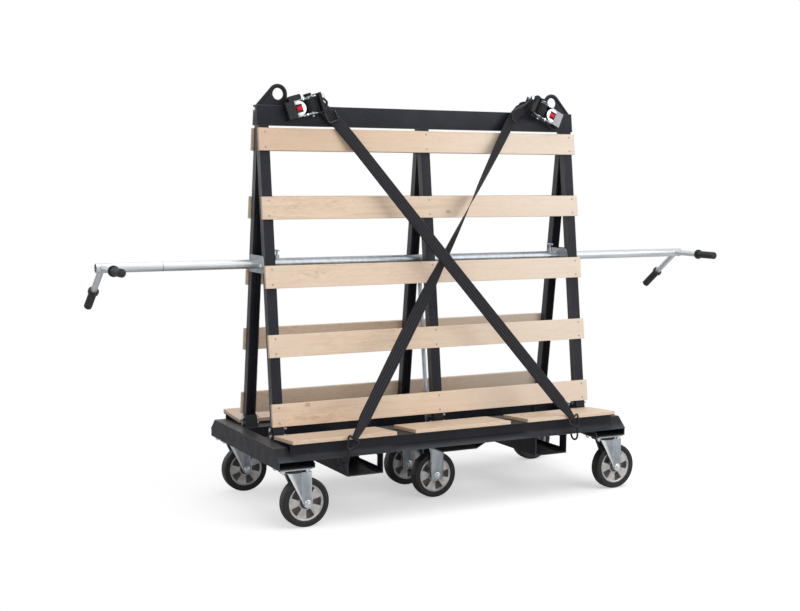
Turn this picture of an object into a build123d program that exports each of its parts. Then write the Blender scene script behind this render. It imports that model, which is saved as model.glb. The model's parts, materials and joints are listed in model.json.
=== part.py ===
from build123d import *
import os
from math import acos, atan2, cos, pi, radians, sin, tan

# Plasterboard trolley. The origin is on the floor under the middle of the base, +X runs along the
# trolley, -Y is the strapped side and +Z is up. Sizes are in millimetres, angles in degrees.

# Fits
RUN = 0.05          # radial play of a shaft in its bore
RUB = 0.3           # play between faces that slide or turn past each other
SEAT = 0.1          # play of a bolted or pushed-on piece

# Casters
WHEEL_D = 200
WHEEL_W = 50
RIM_D = 148
RIM_W = 42
RIM_LIP = 6         # width of the rim's raised edge
RIM_STEP = 3        # wheel disc behind the rim's edge
HUB_D = 34
HUB_RING_D = 58     # raised ring round the bearing's recess
HUB_RING_W = 3
HUB_RING_H = 1.5
HUB_RECESS = 5
AXLE_D = 12
AXLE_HEX = 19
AXLE_HEAD = 7
SPOKES = 5
RECESS_IN_R = 31
RECESS_OUT_R = 66
RECESS_DEPTH = 14
RECESS_ANGLE = 33
TYRE_BEAD = (3, 1)      # tyre's foot: out from the rim, in from the side
TYRE_SIDE = 10          # height of the shoulder
TYRE_EDGE = (2.5, 2)      # shoulder's corner: below the tread, in from the side
TYRE_CROWN = 9          # tread's edge in from the side
FORK_PLAY = 9       # wheel side to fork leg
FORK_T = 4
FORK_CLEAR = 24     # wheel top to fork crown
FORK_LEAD = 30      # swivel axis to the leading edge
FORK_BOSS_R = 17
FORK_CREASE = 24    # crease ahead of the axle
FORK_CREASE_ANGLE = 11
HEAD_D = 100
HEAD_TOP_D = 84
HEAD_H = 13
KING_PIN_D = 16
KING_NUT_HEX = 24
KING_NUT_H = 8
PLATE_L = 135
PLATE_W = 110
PLATE_T = 5
TRAIL = 55
SWIVEL_END_IN = 76.5    # swivel axis in from the base's end
SWIVEL_SIDE_IN = 60     # and from the lip's edge
FIXED_Y = 130
FIXED_FORK_TOP_W = 90
FIXED_FORK_FOOT_W = 58
FIXED_FORK_SHOULDER = 46
FIXED_FORK_FOOT = 20
FIXED_CREASE = 25   # creases each side of the axle
FIXED_CREASE_ANGLE = 22

# Base
BASE_L = 1657
BASE_W = 788
BASE_H = 79
SHEET = 4
END_W = 155
END_NECK = 56       # width of the end member between the legs
NECK_IN = 74        # legs' outer face to the end of that narrow part
LIP_DROP = 46       # base top to the lip's edge
LIP_RUN = 50        # width of the sloping lip
WALL_IN = 28        # side wall in from the lip's edge
COVE = 9            # depth of the hollow in the lip
COVE_FLAT = 0.4     # depth where the lip is nearly flat
COVE_IN_X = 350
COVE_END = 25       # deck's end to the hollow's full depth
COVE_RAMP = 50
DECK_END_IN = 58.5  # deck, planks and beam in from the base's end
DECK_GAP = 86
DECK_TILT = 4.05
DECK_RISE = 21      # base top to the boards' inner top edge
DECK_CLEAR = 17     # legs to the boards' inner edge
BOARD_T = 15
RAIL_W = 64
RAIL_H = 48
POCKET_X = 447
POCKET_W = 160
POCKET_H = 86
POCKET_IN = 17      # pocket mouth in from the lip's edge
WINDOW_L = 175
WINDOW_H = 45
WINDOW_IN = 50
HAT_FLOOR = 168
HAT_TOP = 272
HAT_FLANGE = 30

# Rack
LEAN = 7.03
LEG_W = 44
LEG_D = 34
LEG_T = 3
LEG_IN = 30         # outer legs in from the planks' ends
LEG_TOP_Y = 12.8    # legs' outer face at the beam's top, from the middle plane
PLANK_T = 15
PLANK_H = 92.4
PLANK_PITCH = 280
PLANKS = 5
PLANK_START = 51    # base top to the lowest plank, along the slope
BEAM_T = 3
BEAM_H = 82.4
BEAM_CLEAR = 11.5   # top plank to the beam's lower edge
LEG_SHY = 2         # leg tops below the beam's web
SHOE_T = 4
SHOE_H = 54
SHOE_FOOT_REACH = 30
SHOE_TOP_REACH = 18
SHOE_BACK = 24      # how far the shoe's back stands off at the foot
BOLT_D = 10
BOLT_HEX = 16
BOLT_HEAD = 6
FOOT_BOLT_HEIGHTS = (12, 40)
FOOT_BOLT_IN = 20

# Lifting eyes
EYE_IN = 101        # eye in from the beam's end
EYE_RISE = 46.7
EYE_BAR_D = 16
EYE_BORE_D = 48
EYE_WALL = 1        # metal between the bore and the bar
EYE_WEB_T = 8
EYE_FOOT = 86       # eye centre to the sloping foot's middle

# Push handles
HANDLE_RISE = 701   # base top to the handle axis
HANDLE_OD = 38
HANDLE_T = 3
HANDLE_OUT = 601.5  # tube's end beyond the base
HANDLE_L = 820
GUIDE_T = 3
BRACKET_T = 4
BRACKET_H = 72
BRACKET_IN = 8      # bracket edge in from the legs' outer face
BRACKET_CHAMFER = 12
BAR_D = 25
BAR_IN = 25         # bar axis in from the tube's end
BAR_L = 280
REAR_BAR_DROP = 37
GRIP_D = 33
GRIP_L = 115
GRIP_COLLAR_D = 44
GRIP_COLLAR_L = 8
GRIP_GROOVES = 5
GRIP_GROOVE = 1.5
GRIP_CAP = 4
LOCK_IN = 65        # lock screw in from the outer legs
LOCK_D = 10
LOCK_BOSS_D = 20
LOCK_BOSS_H = 14
LOCK_L = 34
LOCK_BAR_D = 8
LOCK_BAR_L = 44
STAY_X = -9
STAY_W = 18
STAY_T = 6
STAY_SHIFT = 100    # how far the stay's foot stands forward

# Ratchet units, in a frame on the beam's face: u inwards, v up, w out of the face
# Each unit: spool in from the beam's end and above its top
UNIT_AT = {"left": (227, 1.2), "right": (187, 13.2)}
UNIT_TILT = {"left": 16.0, "right": 27.5}
UNIT_T = 3
UNIT_GAP = 62       # between the side plates
UNIT_OUT = 112
UNIT_IN = 72
BRIDGE_OUT = 72
BRIDGE_IN = 50
BRIDGE_H = 43
DISC_R = 29         # round plate about the button
DISC_H = 3
BRIDGE_PIN_U = -30
BRIDGE_PIN_D = 9
BRIDGE_PIN_H = 4
SIDE_IN = 28
SIDE_WAIST = 20     # side plate's curved edge at the spool's height
SPOOL_H = 29
SPOOL_D = 10
ROLL_R = 24
ROLL_IN = 2         # webbing roll in from the side plates
ROLL_GAP = 40       # angle left open by the outer turn
WEB_T = 2.4
WEB_W = 53
RATCHET_R = 25
RATCHET_T = 3
TEETH = 12
TOOTH = 3.5
CAP_R = 17
CAP_T = 9
LEVER_T = 3
LEVER_PIVOT_R = 13
LEVER_IN = 38
LEVER_OUT = 50
LEVER_LOW = 26
LEVER_TOP = 57
GUARD_W = 24
GUARD_LOW = 6
GUARD_TOP = 34
BUTTON_U = -57
BUTTON_L = 22
BUTTON_W = 18
BUTTON_TOP = 49
BUTTON_TRAVEL = 4
HOUSING_L = 26
HOUSING_W = 34
HOOK_U = 64
HOOK_V = 24
HOOK_H = {"left": 29, "right": 40}     # wire's height on its pin
HOOK_PIN_D = 8
HOOK_WIRE = 6
HOOK_EYE_R = 8
HOOK_BEND = 12
HOOK_POINTS = {
    "left": [(78, -6), (50, -46), (58, -92), (106, -88), (96, -46)],
    "right": [(93, -32), (133, -82), (117, -120), (83, -110)],
}

# Straps
STRAP_LIFT = 1.9
STRAP_TOP_U = 50
STRAP_TOP_V = -8
TURN_X = 468        # where the right strap turns down
TURN_RISE = 19.2    # that place above the beam top
TURN_OUT = 10       # and off the unit's base
CROSS_DROP = 626.8  # beam top to the crossing
CROSS_GAP = 32
CROSS_Y = -222
STRAP_END_RISE = 27 # base top to the straps' lower ends
STRAP_TWIST = [(0.18, -21), (0.31, -42), (0.55, -68), (0.8, -86), (0.99, -101), (1.2, -140), (1.45, -180)]
TURN_TWIST = -13
LEFT_STRAP_END_X = 534
RIGHT_STRAP_END_X = -508
STRAP_END_OUT = 12
GATHER_W = 36       # strap's width where it is gathered in its ring
GATHER_L = 90
RING_WIRE = 6
RING_W = 60
RING_H = 44
RING_NECK = 18
CLAW_R = 24
CLAW_DROP = 42
CLAW_TIP = 4
CLAW_TURN = {"left": 0.0, "right": 35.0}

# Levels and widths that follow from the sizes above
axle_z = WHEEL_D / 2
crown_z = WHEEL_D + FORK_CLEAR
head_z = crown_z + FORK_T
plate_z = head_z + HEAD_H
base_z = plate_z + PLATE_T
base_top = base_z + BASE_H
fork_in = WHEEL_W / 2 + FORK_PLAY
fork_out = fork_in + FORK_T
lean = radians(LEAN)
plank_top = (PLANK_START + (PLANKS - 1) * PLANK_PITCH + PLANK_H) * cos(lean)
beam_z = base_top + plank_top + BEAM_CLEAR
beam_top = beam_z + BEAM_H
foot_y = LEG_TOP_Y + (beam_top - base_top) * tan(lean)
lip_y = BASE_W / 2
deck_end = BASE_L / 2 - DECK_END_IN
leg_x = deck_end - LEG_IN
eye_x = deck_end - EYE_IN
lock_x = leg_x - LOCK_IN
handle_reach = BASE_L / 2 + HANDLE_OUT
swivel_x = BASE_L / 2 - SWIVEL_END_IN
swivel_y = lip_y - SWIVEL_SIDE_IN
lip_z = base_top - LIP_DROP
lip_length = (LIP_RUN**2 + LIP_DROP**2) ** 0.5
lip_in = Vector(-LIP_DROP / lip_length, -LIP_RUN / lip_length)
end_in = BASE_L / 2 - END_W
neck_in = BASE_L / 2 - END_NECK
rail_out = foot_y + RUB
rail_z = base_top - RAIL_H
handle_z = base_top + HANDLE_RISE
guide_r = HANDLE_OD / 2 + RUB
spool_reach = UNIT_GAP / 2 + UNIT_T
cross_z = beam_top - CROSS_DROP
front = Plane((0, -foot_y, base_top), x_dir=(1, 0, 0), z_dir=(0, -cos(lean), sin(lean)))
deck = Plane(
    (0, foot_y + DECK_CLEAR, base_top + DECK_RISE),
    x_dir=(1, 0, 0),
    z_dir=(0, -sin(radians(DECK_TILT)), cos(radians(DECK_TILT))),
)

nodes = {}


# Shapes used throughout
def span(x0, x1, y0, y1, z0, z1):
    """A box between two corners."""
    return Pos((x0 + x1) / 2, (y0 + y1) / 2, (z0 + z1) / 2) * Box(x1 - x0, y1 - y0, z1 - z0)


def face(*curves):
    """The flat face inside a closed chain of curves."""
    return make_face([edge for curve in curves for edge in curve.edges()])


def bar_x(points, x0, x1):
    """A bar along X with a straight-sided outline in Y and Z."""
    return Pos(x0, 0, 0) * extrude(Plane.YZ * face(Polyline(*points, close=True)), x1 - x0)


def plate_y(sketch, y0, y1):
    """A plate between two Y values from a sketch in X and Z."""
    return Pos(0, y1, 0) * extrude(Plane.XZ * sketch, y1 - y0)


def rod(radius, start, end):
    """A round bar between two points."""
    axis = Vector(*end) - Vector(*start)
    return Plane(start, z_dir=axis) * extrude(Circle(radius), axis.length)


def hexagon(across, start, end):
    """A six-sided bar between two points."""
    axis = Vector(*end) - Vector(*start)
    outline = RegularPolygon(across / 2, 6, major_radius=False)
    return Plane(start, z_dir=axis) * extrude(outline, axis.length)


def wire(path, radius):
    """A round wire along a path."""
    return sweep((path ^ 0) * Circle(radius), path=path)


def rear(solid):
    """The copy on the other side of the trolley."""
    return mirror(solid, about=Plane.XZ)


def other_end(solid):
    """The copy at the other end of the trolley."""
    return mirror(solid, about=Plane.YZ)


def tangent_point(outside, centre, radius, turn):
    """Where the tangent from a point touches a circle, on the side given by turn."""
    gap = Vector(*outside) - Vector(*centre)
    angle = atan2(gap.Y, gap.X) + turn * acos(radius / gap.length)
    return Vector(*centre) + Vector(radius * cos(angle), radius * sin(angle))


def leg_y(z):
    """Distance of the legs' outer face from the middle plane at a height."""
    return foot_y - (z - base_top) * tan(lean)


# Base
def lip_at(y):
    """Height of the lip's outer slope at a distance from the middle plane."""
    return lip_z + (lip_y - y) * LIP_DROP / LIP_RUN


def bevel_cut(depth, x0, x1):
    """The wedge above the lip's slope, sunk below it by a depth."""
    low = Vector(lip_y, lip_z) + lip_in * depth
    high = low + Vector(-LIP_RUN, LIP_DROP) * 2
    points = [(low.X, low.Y), (low.X + LIP_RUN, low.Y), (low.X + LIP_RUN, high.Y), (high.X, high.Y)]
    return bar_x(points, x0, x1)


def end_member():
    """The hollow beam across one end, narrow between the legs and cut back under the sloping lips."""
    x1 = BASE_L / 2
    end_y = lip_y + lip_in.X * SHEET
    neck_y = foot_y - NECK_IN
    wall_y = neck_y + SHEET
    beam = span(end_in, x1, -end_y, end_y, base_z, base_top)
    beam -= span(end_in, neck_in, -neck_y, neck_y, base_z, base_top)
    hollow = span(end_in + SHEET, x1 - SHEET, -lip_y, lip_y, base_z + SHEET, base_top - SHEET)
    beam -= hollow - span(end_in, neck_in + SHEET, -wall_y, wall_y, base_z, base_top)
    for cut in (bevel_cut(SHEET, end_in, x1), bevel_cut(2 * SHEET + COVE, end_in, deck_end)):
        beam -= cut
        beam -= rear(cut)
    return beam


def tray_under(y):
    """Height of the deck ledge's underside at a distance from the middle plane."""
    tilt = radians(DECK_TILT)
    start = deck.origin
    return start.Z + (y - start.Y) * tan(tilt) - (BOARD_T + SHEET) / cos(tilt)


def side_section(x, hollow):
    """The side beam's sheet at one place: an upright wall and a lip that is hollowed."""
    wall_y = lip_y - WALL_IN
    inner_y = wall_y - SHEET
    top = tray_under(inner_y)
    corner = Vector(wall_y, lip_at(wall_y))
    edge = Vector(lip_y, lip_z)
    inner_edge = edge + lip_in * SHEET
    inner_drop = SHEET * (lip_in.Y + lip_in.X * LIP_DROP / LIP_RUN)
    inner_corner = Vector(inner_y, lip_at(inner_y) + inner_drop)
    lip = ThreePointArc(corner, (corner + edge) / 2 + lip_in * hollow, edge)
    back = ThreePointArc(inner_edge, (inner_corner + inner_edge) / 2 + lip_in * hollow, inner_corner)
    wall = Polyline(inner_corner, (inner_y, top), (wall_y, top), corner)
    return Pos(x, 0, 0) * (Plane.YZ * face(lip, Line(edge, inner_edge), back, wall))


def side_beam():
    """A folded side beam with a hollow in the lip at each end and a flat middle and corners."""
    stations = [
        (deck_end, COVE_FLAT),
        (deck_end - COVE_END, COVE),
        (COVE_IN_X, COVE),
        (COVE_IN_X - COVE_RAMP, COVE_FLAT),
    ]
    stations += [(-x, hollow) for x, hollow in reversed(stations)]
    beam = loft([side_section(x, hollow) for x, hollow in stations], ruled=True)
    inner = Vector(lip_y, lip_z) + lip_in * SHEET
    inner_top = inner.X - (base_top - inner.Y) * LIP_RUN / LIP_DROP
    corner = [(lip_y - LIP_RUN, base_top), (lip_y, lip_z), (inner.X, inner.Y), (inner_top, base_top)]
    plate = bar_x(corner, deck_end, BASE_L / 2)
    return beam + plate + other_end(plate)


def deck_ledge():
    """The sloping tray under the boards, folded down along its inner edge."""
    inner = DECK_CLEAR / 2
    width = board_width() - SHEET
    tray = deck * span(-deck_end, deck_end, -inner, width, -BOARD_T - SHEET, -BOARD_T)
    fold_y = foot_y + DECK_CLEAR - inner + SHEET / 2
    fold = span(-deck_end, deck_end, fold_y, fold_y + SHEET, base_top, tray_under(fold_y) + SHEET / 2)
    return tray + fold


def board_width():
    """Width of a deck board along its slope."""
    return (lip_y - deck.origin.Y) / cos(radians(DECK_TILT))


def deck_boards():
    """Three boards on one side, end to end with gaps at the middle legs."""
    length = 2 * (deck_end - DECK_GAP) / 3
    boards = []
    for place in (-1, 0, 1):
        x = place * (length + DECK_GAP)
        boards.append(deck * span(x - length / 2, x + length / 2, 0, board_width(), -BOARD_T, 0))
    return boards


def inner_rail():
    """An inverted channel between the end members, under the legs."""
    rail_in = rail_out - RAIL_W
    rail = span(-end_in, end_in, rail_in, rail_out, rail_z, base_top)
    return rail - span(-end_in, end_in, rail_in + SHEET, rail_out - SHEET, rail_z, base_top - SHEET)


def fork_pocket(x):
    """A box tube for a lifting fork, with one window in each side wall."""
    x0 = x - POCKET_W / 2
    x1 = x + POCKET_W / 2
    mouth = lip_y - POCKET_IN
    z0 = rail_z - POCKET_H
    tube = span(x0, x1, -mouth, mouth, z0, rail_z)
    tube -= span(x0 + SHEET, x1 - SHEET, -mouth, mouth, z0 + SHEET, rail_z - SHEET)
    middle = (z0 + rail_z) / 2
    start = -mouth + WINDOW_IN
    low = middle - WINDOW_H / 2
    tube -= span(x1 - SHEET, x1, start, start + WINDOW_L, low, low + WINDOW_H)
    return tube - span(x0, x0 + SHEET, -start - WINDOW_L, -start, low, low + WINDOW_H)


def cross_member():
    """A hat section across the middle, with its flat floor on the fixed casters."""
    floor = HAT_FLOOR / 2
    top = HAT_TOP / 2
    flange = top + HAT_FLANGE
    outer = [(flange, rail_z), (top - SHEET / 2, rail_z), (floor - SHEET / 2, base_z + SHEET)]
    under = [(floor, base_z), (top, rail_z - SHEET), (flange, rail_z - SHEET)]
    points = outer + [(-x, z) for x, z in reversed(outer)]
    points += [(-x, z) for x, z in reversed(under)] + under
    reach = lip_y - WALL_IN - 2 * SHEET
    return plate_y(face(Polyline(*points, close=True)), -reach, reach)


# Rack
def foot_bolt_places(x):
    """Where the through bolts cross a leg, as places on the front slope."""
    return [front * Pos(x, height, -FOOT_BOLT_IN) for height in FOOT_BOLT_HEIGHTS]


def drill_x(solid, places, diameter, length):
    """Holes along X through a solid."""
    for place in places:
        solid -= place * Rot(0, 90, 0) * Cylinder(diameter / 2, length)
    return solid


def leg(x):
    """A folded channel that leans to the middle plane, open side inwards."""
    half = LEG_W / 2
    length = 2 * (beam_top - base_top)
    channel = span(-half, half, -length, length, -LEG_D, 0)
    channel -= span(-half + LEG_T, half - LEG_T, -length, length, -LEG_D, -LEG_T)
    top = beam_top - BEAM_T - LEG_SHY
    keep = span(x - LEG_W, x + LEG_W, -2 * foot_y, -RUB, base_top, top)
    channel = (front * Pos(x, 0, 0) * channel) & keep
    return drill_x(channel, foot_bolt_places(x), BOLT_D + 2 * SEAT, 2 * LEG_W)


def leg_shoe(x):
    """A folded bracket round the back of a leg's foot, standing off from it at the bottom."""
    inner = LEG_W / 2 + SEAT
    outer = inner + SHOE_T
    web = -LEG_D - SEAT
    low = web - 2 * SHOE_BACK
    side = [
        (-SHOE_H, low - SHOE_T),
        (-SHOE_H, web + SHOE_FOOT_REACH),
        (SHOE_H / 4, web + SHOE_FOOT_REACH),
        (SHOE_H, web + SHOE_TOP_REACH),
        (SHOE_H, web - SHOE_T),
    ]
    hollow = [(-SHOE_H, low), (-SHOE_H, LEG_D), (SHOE_H, LEG_D), (SHOE_H, web)]
    block = bar_x(side, -outer, outer) - bar_x(hollow, -inner, inner)
    keep = span(x - LEG_W, x + LEG_W, -2 * foot_y, 0, base_top, base_top + 2 * SHOE_H)
    shoe = (front * Pos(x, 0, 0) * block) & keep
    return drill_x(shoe, foot_bolt_places(x), BOLT_D + 2 * SEAT, 2 * LEG_W)


def foot_bolt(place):
    """A through bolt with its head on one side of a shoe and its nut on the other."""
    grip = LEG_W / 2 + SEAT + SHOE_T
    bolt = rod(BOLT_D / 2, (-grip, 0, 0), (grip, 0, 0))
    bolt += hexagon(BOLT_HEX, (grip, 0, 0), (grip + BOLT_HEAD, 0, 0))
    bolt += hexagon(BOLT_HEX, (-grip - BOLT_HEAD, 0, 0), (-grip, 0, 0))
    return place * bolt


def top_beam():
    """The cap over the leg tops: sloping sides, a flat top and closed ends."""
    wall = BEAM_T / cos(lean)
    web = beam_top - BEAM_T
    outer = [(leg_y(beam_z) + wall, beam_z), (leg_y(beam_top) + wall, beam_top)]
    inner = [(leg_y(beam_z), beam_z), (leg_y(web), web)]
    outer += [(-y, z) for y, z in reversed(outer)]
    inner += [(-y, z) for y, z in reversed(inner)]
    return bar_x(outer, -deck_end, deck_end) - bar_x(inner, -deck_end + BEAM_T, deck_end - BEAM_T)


def lifting_eye():
    """A bar bent over a round eye, with a web plate inside the bend."""
    radius = (EYE_BORE_D + EYE_BAR_D) / 2 + EYE_WALL
    centre = Vector(eye_x, beam_top + EYE_RISE)
    foot = Vector(eye_x + EYE_FOOT, beam_top)
    touch = tangent_point(foot, centre, radius, 1)
    sunk = foot + (foot - touch).normalized() * EYE_BAR_D
    inner_foot = Vector(eye_x - radius, beam_top - EYE_BAR_D)
    crest = Vector(centre.X, centre.Y + radius)
    path = Plane.XZ * Wire([
        Line(sunk, touch),
        ThreePointArc(touch, crest, (centre.X - radius, centre.Y)),
        Line((centre.X - radius, centre.Y), inner_foot),
    ])
    web = face(
        Line(foot, touch),
        ThreePointArc(touch, crest, (centre.X - radius, centre.Y)),
        Polyline((centre.X - radius, centre.Y), (centre.X - radius, beam_top), foot),
    )
    eye = wire(path, EYE_BAR_D / 2) + plate_y(web, -EYE_WEB_T / 2, EYE_WEB_T / 2)
    eye -= span(0, 2 * deck_end, -EYE_BAR_D, EYE_BAR_D, beam_z, beam_top)
    return eye - Pos(centre.X, 0, centre.Y) * Rot(90, 0, 0) * Cylinder(EYE_BORE_D / 2, 2 * EYE_BAR_D)


def load_planks():
    """The planks on one side, evenly up the slope."""
    starts = [PLANK_START + number * PLANK_PITCH for number in range(PLANKS)]
    return [front * span(-deck_end, deck_end, start, start + PLANK_H, 0, PLANK_T) for start in starts]


# Push handles
def handle_bracket(x):
    """A plate between two legs that carries the handle tube."""
    low = handle_z - BRACKET_H / 2
    high = handle_z + BRACKET_H / 2
    bottom = leg_y(low) - BRACKET_IN
    top = leg_y(high) - BRACKET_IN
    cut = BRACKET_CHAMFER
    right = [(bottom - cut, low), (bottom, low + cut), (top, high - cut), (top - cut, high)]
    plate = bar_x(right + [(-y, z) for y, z in reversed(right)], x, x + BRACKET_T)
    return plate - rod(guide_r, (x, 0, handle_z), (x + BRACKET_T, 0, handle_z))


def guide_tube():
    """The tube that both handles slide in, with a threaded boss near each end."""
    reach = leg_x - LEG_W / 2 - BRACKET_T
    tube = rod(guide_r + GUIDE_T, (-reach, 0, handle_z), (reach, 0, handle_z))
    boss_top = handle_z + guide_r + GUIDE_T + LOCK_BOSS_H
    for x in (-lock_x, lock_x):
        tube += rod(LOCK_BOSS_D / 2, (x, 0, handle_z), (x, 0, boss_top))
        tube -= rod(LOCK_D / 2 + RUN, (x, 0, handle_z), (x, 0, boss_top))
    return tube - rod(guide_r, (-reach, 0, handle_z), (reach, 0, handle_z))


def guide_stay():
    """A flat bar from the cross member's floor up to the guide tube."""
    foot = base_z + SHEET
    top = handle_z - guide_r - GUIDE_T - SEAT
    points = [
        (-STAY_SHIFT - STAY_T / 2, foot),
        (-STAY_SHIFT + STAY_T / 2, foot),
        (STAY_T / 2, top),
        (-STAY_T / 2, top),
    ]
    return bar_x(points, STAY_X - STAY_W / 2, STAY_X + STAY_W / 2)


def lock_screw(x):
    """A screw with a T bar that stops just above the handle tube."""
    tip = handle_z + HANDLE_OD / 2 + RUB
    top = tip + LOCK_L
    half = LOCK_BAR_L / 2
    return rod(LOCK_D / 2, (x, 0, tip), (x, 0, top)) + rod(LOCK_BAR_D / 2, (x, -half, top), (x, half, top))


def bar_ends(distance):
    """Points on the front and rear hand bars at a distance from the tube's axis."""
    x = handle_reach - BAR_IN
    drop = radians(REAR_BAR_DROP)
    return [
        Vector(x, -distance, handle_z),
        Vector(x, distance * cos(drop), handle_z - distance * sin(drop)),
    ]


def handle_tube():
    """The sliding tube with a level hand bar in front and a drooping one behind."""
    inner = handle_reach - HANDLE_L
    tube = rod(HANDLE_OD / 2, (inner, 0, handle_z), (handle_reach, 0, handle_z))
    start = HANDLE_OD / 2 - HANDLE_T
    for near, far in zip(bar_ends(start), bar_ends(BAR_L)):
        tube += rod(BAR_D / 2, near, far)
    return tube - rod(HANDLE_OD / 2 - HANDLE_T, (inner, 0, handle_z), (handle_reach, 0, handle_z))


def grip_profile():
    """Half outline of a grip: collar, grooved body and closed end."""
    bore = BAR_D / 2 + SEAT
    body = GRIP_D / 2
    collar = GRIP_COLLAR_D / 2
    points = [(bore, 0), (collar, 0), (collar, GRIP_COLLAR_L), (body, GRIP_COLLAR_L)]
    pitch = (GRIP_L - GRIP_COLLAR_L) / (GRIP_GROOVES + 1)
    for number in range(1, GRIP_GROOVES + 1):
        groove = GRIP_COLLAR_L + number * pitch
        points.append((body, groove - GRIP_GROOVE))
        points.append((body - GRIP_GROOVE, groove))
        points.append((body, groove + GRIP_GROOVE))
    points += [(body, GRIP_L), (0, GRIP_L + GRIP_CAP), (0, GRIP_L + SEAT), (bore, GRIP_L + SEAT)]
    return face(Polyline(*points, close=True))


def grips():
    """The two grips of one handle."""
    grip = revolve(Plane.XZ * grip_profile(), axis=Axis.Z)
    places = zip(bar_ends(BAR_L - GRIP_L), bar_ends(BAR_L))
    return [Plane(start, z_dir=end - start) * grip for start, end in places]


# Casters
def both_sides(points):
    """A turned body about the Y axis from one half of its outline."""
    outline = Polyline(*points, *[(r, -y) for r, y in reversed(points)], close=True)
    return revolve(face(outline), axis=Axis.Y)


def rim():
    """A wheel centre about the Y axis: hub in a ringed recess, pocketed disc and a well for the tyre."""
    hub = HUB_D / 2
    ring = HUB_RING_D / 2
    half = RIM_W / 2
    web = half - RIM_STEP
    well = RIM_D / 2
    bore = AXLE_D / 2 + RUN
    hub_end = fork_in - RUB
    lip = well - RIM_LIP
    points = [(bore, hub_end), (hub, hub_end), (hub, web - HUB_RECESS), (ring - HUB_RING_W, web - HUB_RECESS)]
    points += [(ring - HUB_RING_W, web + HUB_RING_H), (ring, web + HUB_RING_H), (ring, web)]
    points += [(lip, web), (lip + RIM_STEP, half), (well, half)]
    body = both_sides(points)
    spread = radians(RECESS_ANGLE / 2)
    near = Vector(RECESS_IN_R * cos(spread), RECESS_IN_R * sin(spread))
    far = Vector(RECESS_OUT_R * cos(spread), RECESS_OUT_R * sin(spread))
    wedge = face(
        Polyline((far.X, far.Y), (near.X, near.Y), (near.X, -near.Y), (far.X, -far.Y)),
        ThreePointArc((far.X, -far.Y), (RECESS_OUT_R, 0), (far.X, far.Y)),
    )
    for turn in range(SPOKES):
        recess = Rot(0, 0, turn * 360 / SPOKES) * wedge
        body -= plate_y(recess, web - RECESS_DEPTH, web)
        body -= plate_y(recess, -web, -web + RECESS_DEPTH)
    return body


def tyre():
    """A solid tyre about the Y axis, with sloping shoulders."""
    well = RIM_D / 2 + SEAT
    half = WHEEL_W / 2
    outer = WHEEL_D / 2
    bead_out, bead_in = TYRE_BEAD
    edge_low, edge_in = TYRE_EDGE
    return both_sides([
        (well, RIM_W / 2),
        (well + bead_out, half - bead_in),
        (outer - TYRE_SIDE, half),
        (outer - edge_low, half - edge_in),
        (outer, half - TYRE_CROWN),
    ])


def axle():
    """An axle bolt about the Y axis, with its head and nut outside the fork."""
    half = fork_out + SEAT
    bolt = rod(AXLE_D / 2, (0, -half, 0), (0, half, 0))
    bolt += hexagon(AXLE_HEX, (0, half, 0), (0, half + AXLE_HEAD, 0))
    return bolt + hexagon(AXLE_HEX, (0, -half - AXLE_HEAD, 0), (0, -half, 0))


def swivel_plate():
    """The top plate with its king pin and nut, about the swivel axis."""
    plate = span(-PLATE_L / 2, PLATE_L / 2, -PLATE_W / 2, PLATE_W / 2, plate_z, base_z)
    pin = KING_PIN_D / 2
    nut_top = crown_z - RUB
    nut_low = nut_top - KING_NUT_H
    plate += rod(pin, (0, 0, nut_low), (0, 0, plate_z))
    return plate + hexagon(KING_NUT_HEX, (0, 0, nut_low), (0, 0, nut_top))


def fork_leg():
    """One leg of the swivel fork: upright behind, sloping and bent inwards in front."""
    trailing = TRAIL + FORK_BOSS_R
    start = Vector(-FORK_LEAD, head_z)
    centre = Vector(TRAIL, axle_z)
    touch = tangent_point(start, centre, FORK_BOSS_R, 1)
    outline = face(
        Polyline(touch, start, (trailing, head_z), (trailing, axle_z)),
        ThreePointArc((trailing, axle_z), (TRAIL, axle_z - FORK_BOSS_R), touch),
    )
    crease = TRAIL - FORK_CREASE
    whole = plate_y(outline, fork_in, fork_out)
    behind = whole & span(crease, trailing, 0, fork_out, 0, head_z)
    ahead = whole & span(-FORK_LEAD, crease, 0, fork_out, 0, head_z)
    hinge = Pos(crease, fork_out, 0)
    bent = behind + hinge * Rot(0, 0, FORK_CREASE_ANGLE) * hinge.inverse() * ahead
    return bent - rod(AXLE_D / 2 + RUN, (TRAIL, 0, axle_z), (TRAIL, 2 * fork_out, axle_z))


def swivel_fork():
    """The turning fork about the swivel axis: crown, race head and two legs."""
    crease = TRAIL - FORK_CREASE
    trailing = TRAIL + FORK_BOSS_R
    lead = crease - (FORK_LEAD + crease) * cos(radians(FORK_CREASE_ANGLE))
    narrow = fork_out - (FORK_LEAD + crease) * sin(radians(FORK_CREASE_ANGLE))
    side = [(lead, narrow), (crease, fork_out), (trailing, fork_out)]
    crown = extrude(face(Polyline(*side, *[(x, -y) for x, y in reversed(side)], close=True)), FORK_T)
    dome = Polyline(
        (0, head_z),
        (HEAD_D / 2, head_z),
        (HEAD_D / 2, head_z + HEAD_H / 2),
        (HEAD_TOP_D / 2, plate_z - RUB),
        (0, plate_z - RUB),
        close=True,
    )
    head = revolve(Plane.XZ * face(dome), axis=Axis.Z)
    leg_one = fork_leg()
    fork = Pos(0, 0, crown_z) * crown + head + leg_one + rear(leg_one)
    return fork - rod(KING_PIN_D / 2 + RUN, (0, 0, crown_z), (0, 0, plate_z))


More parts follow.
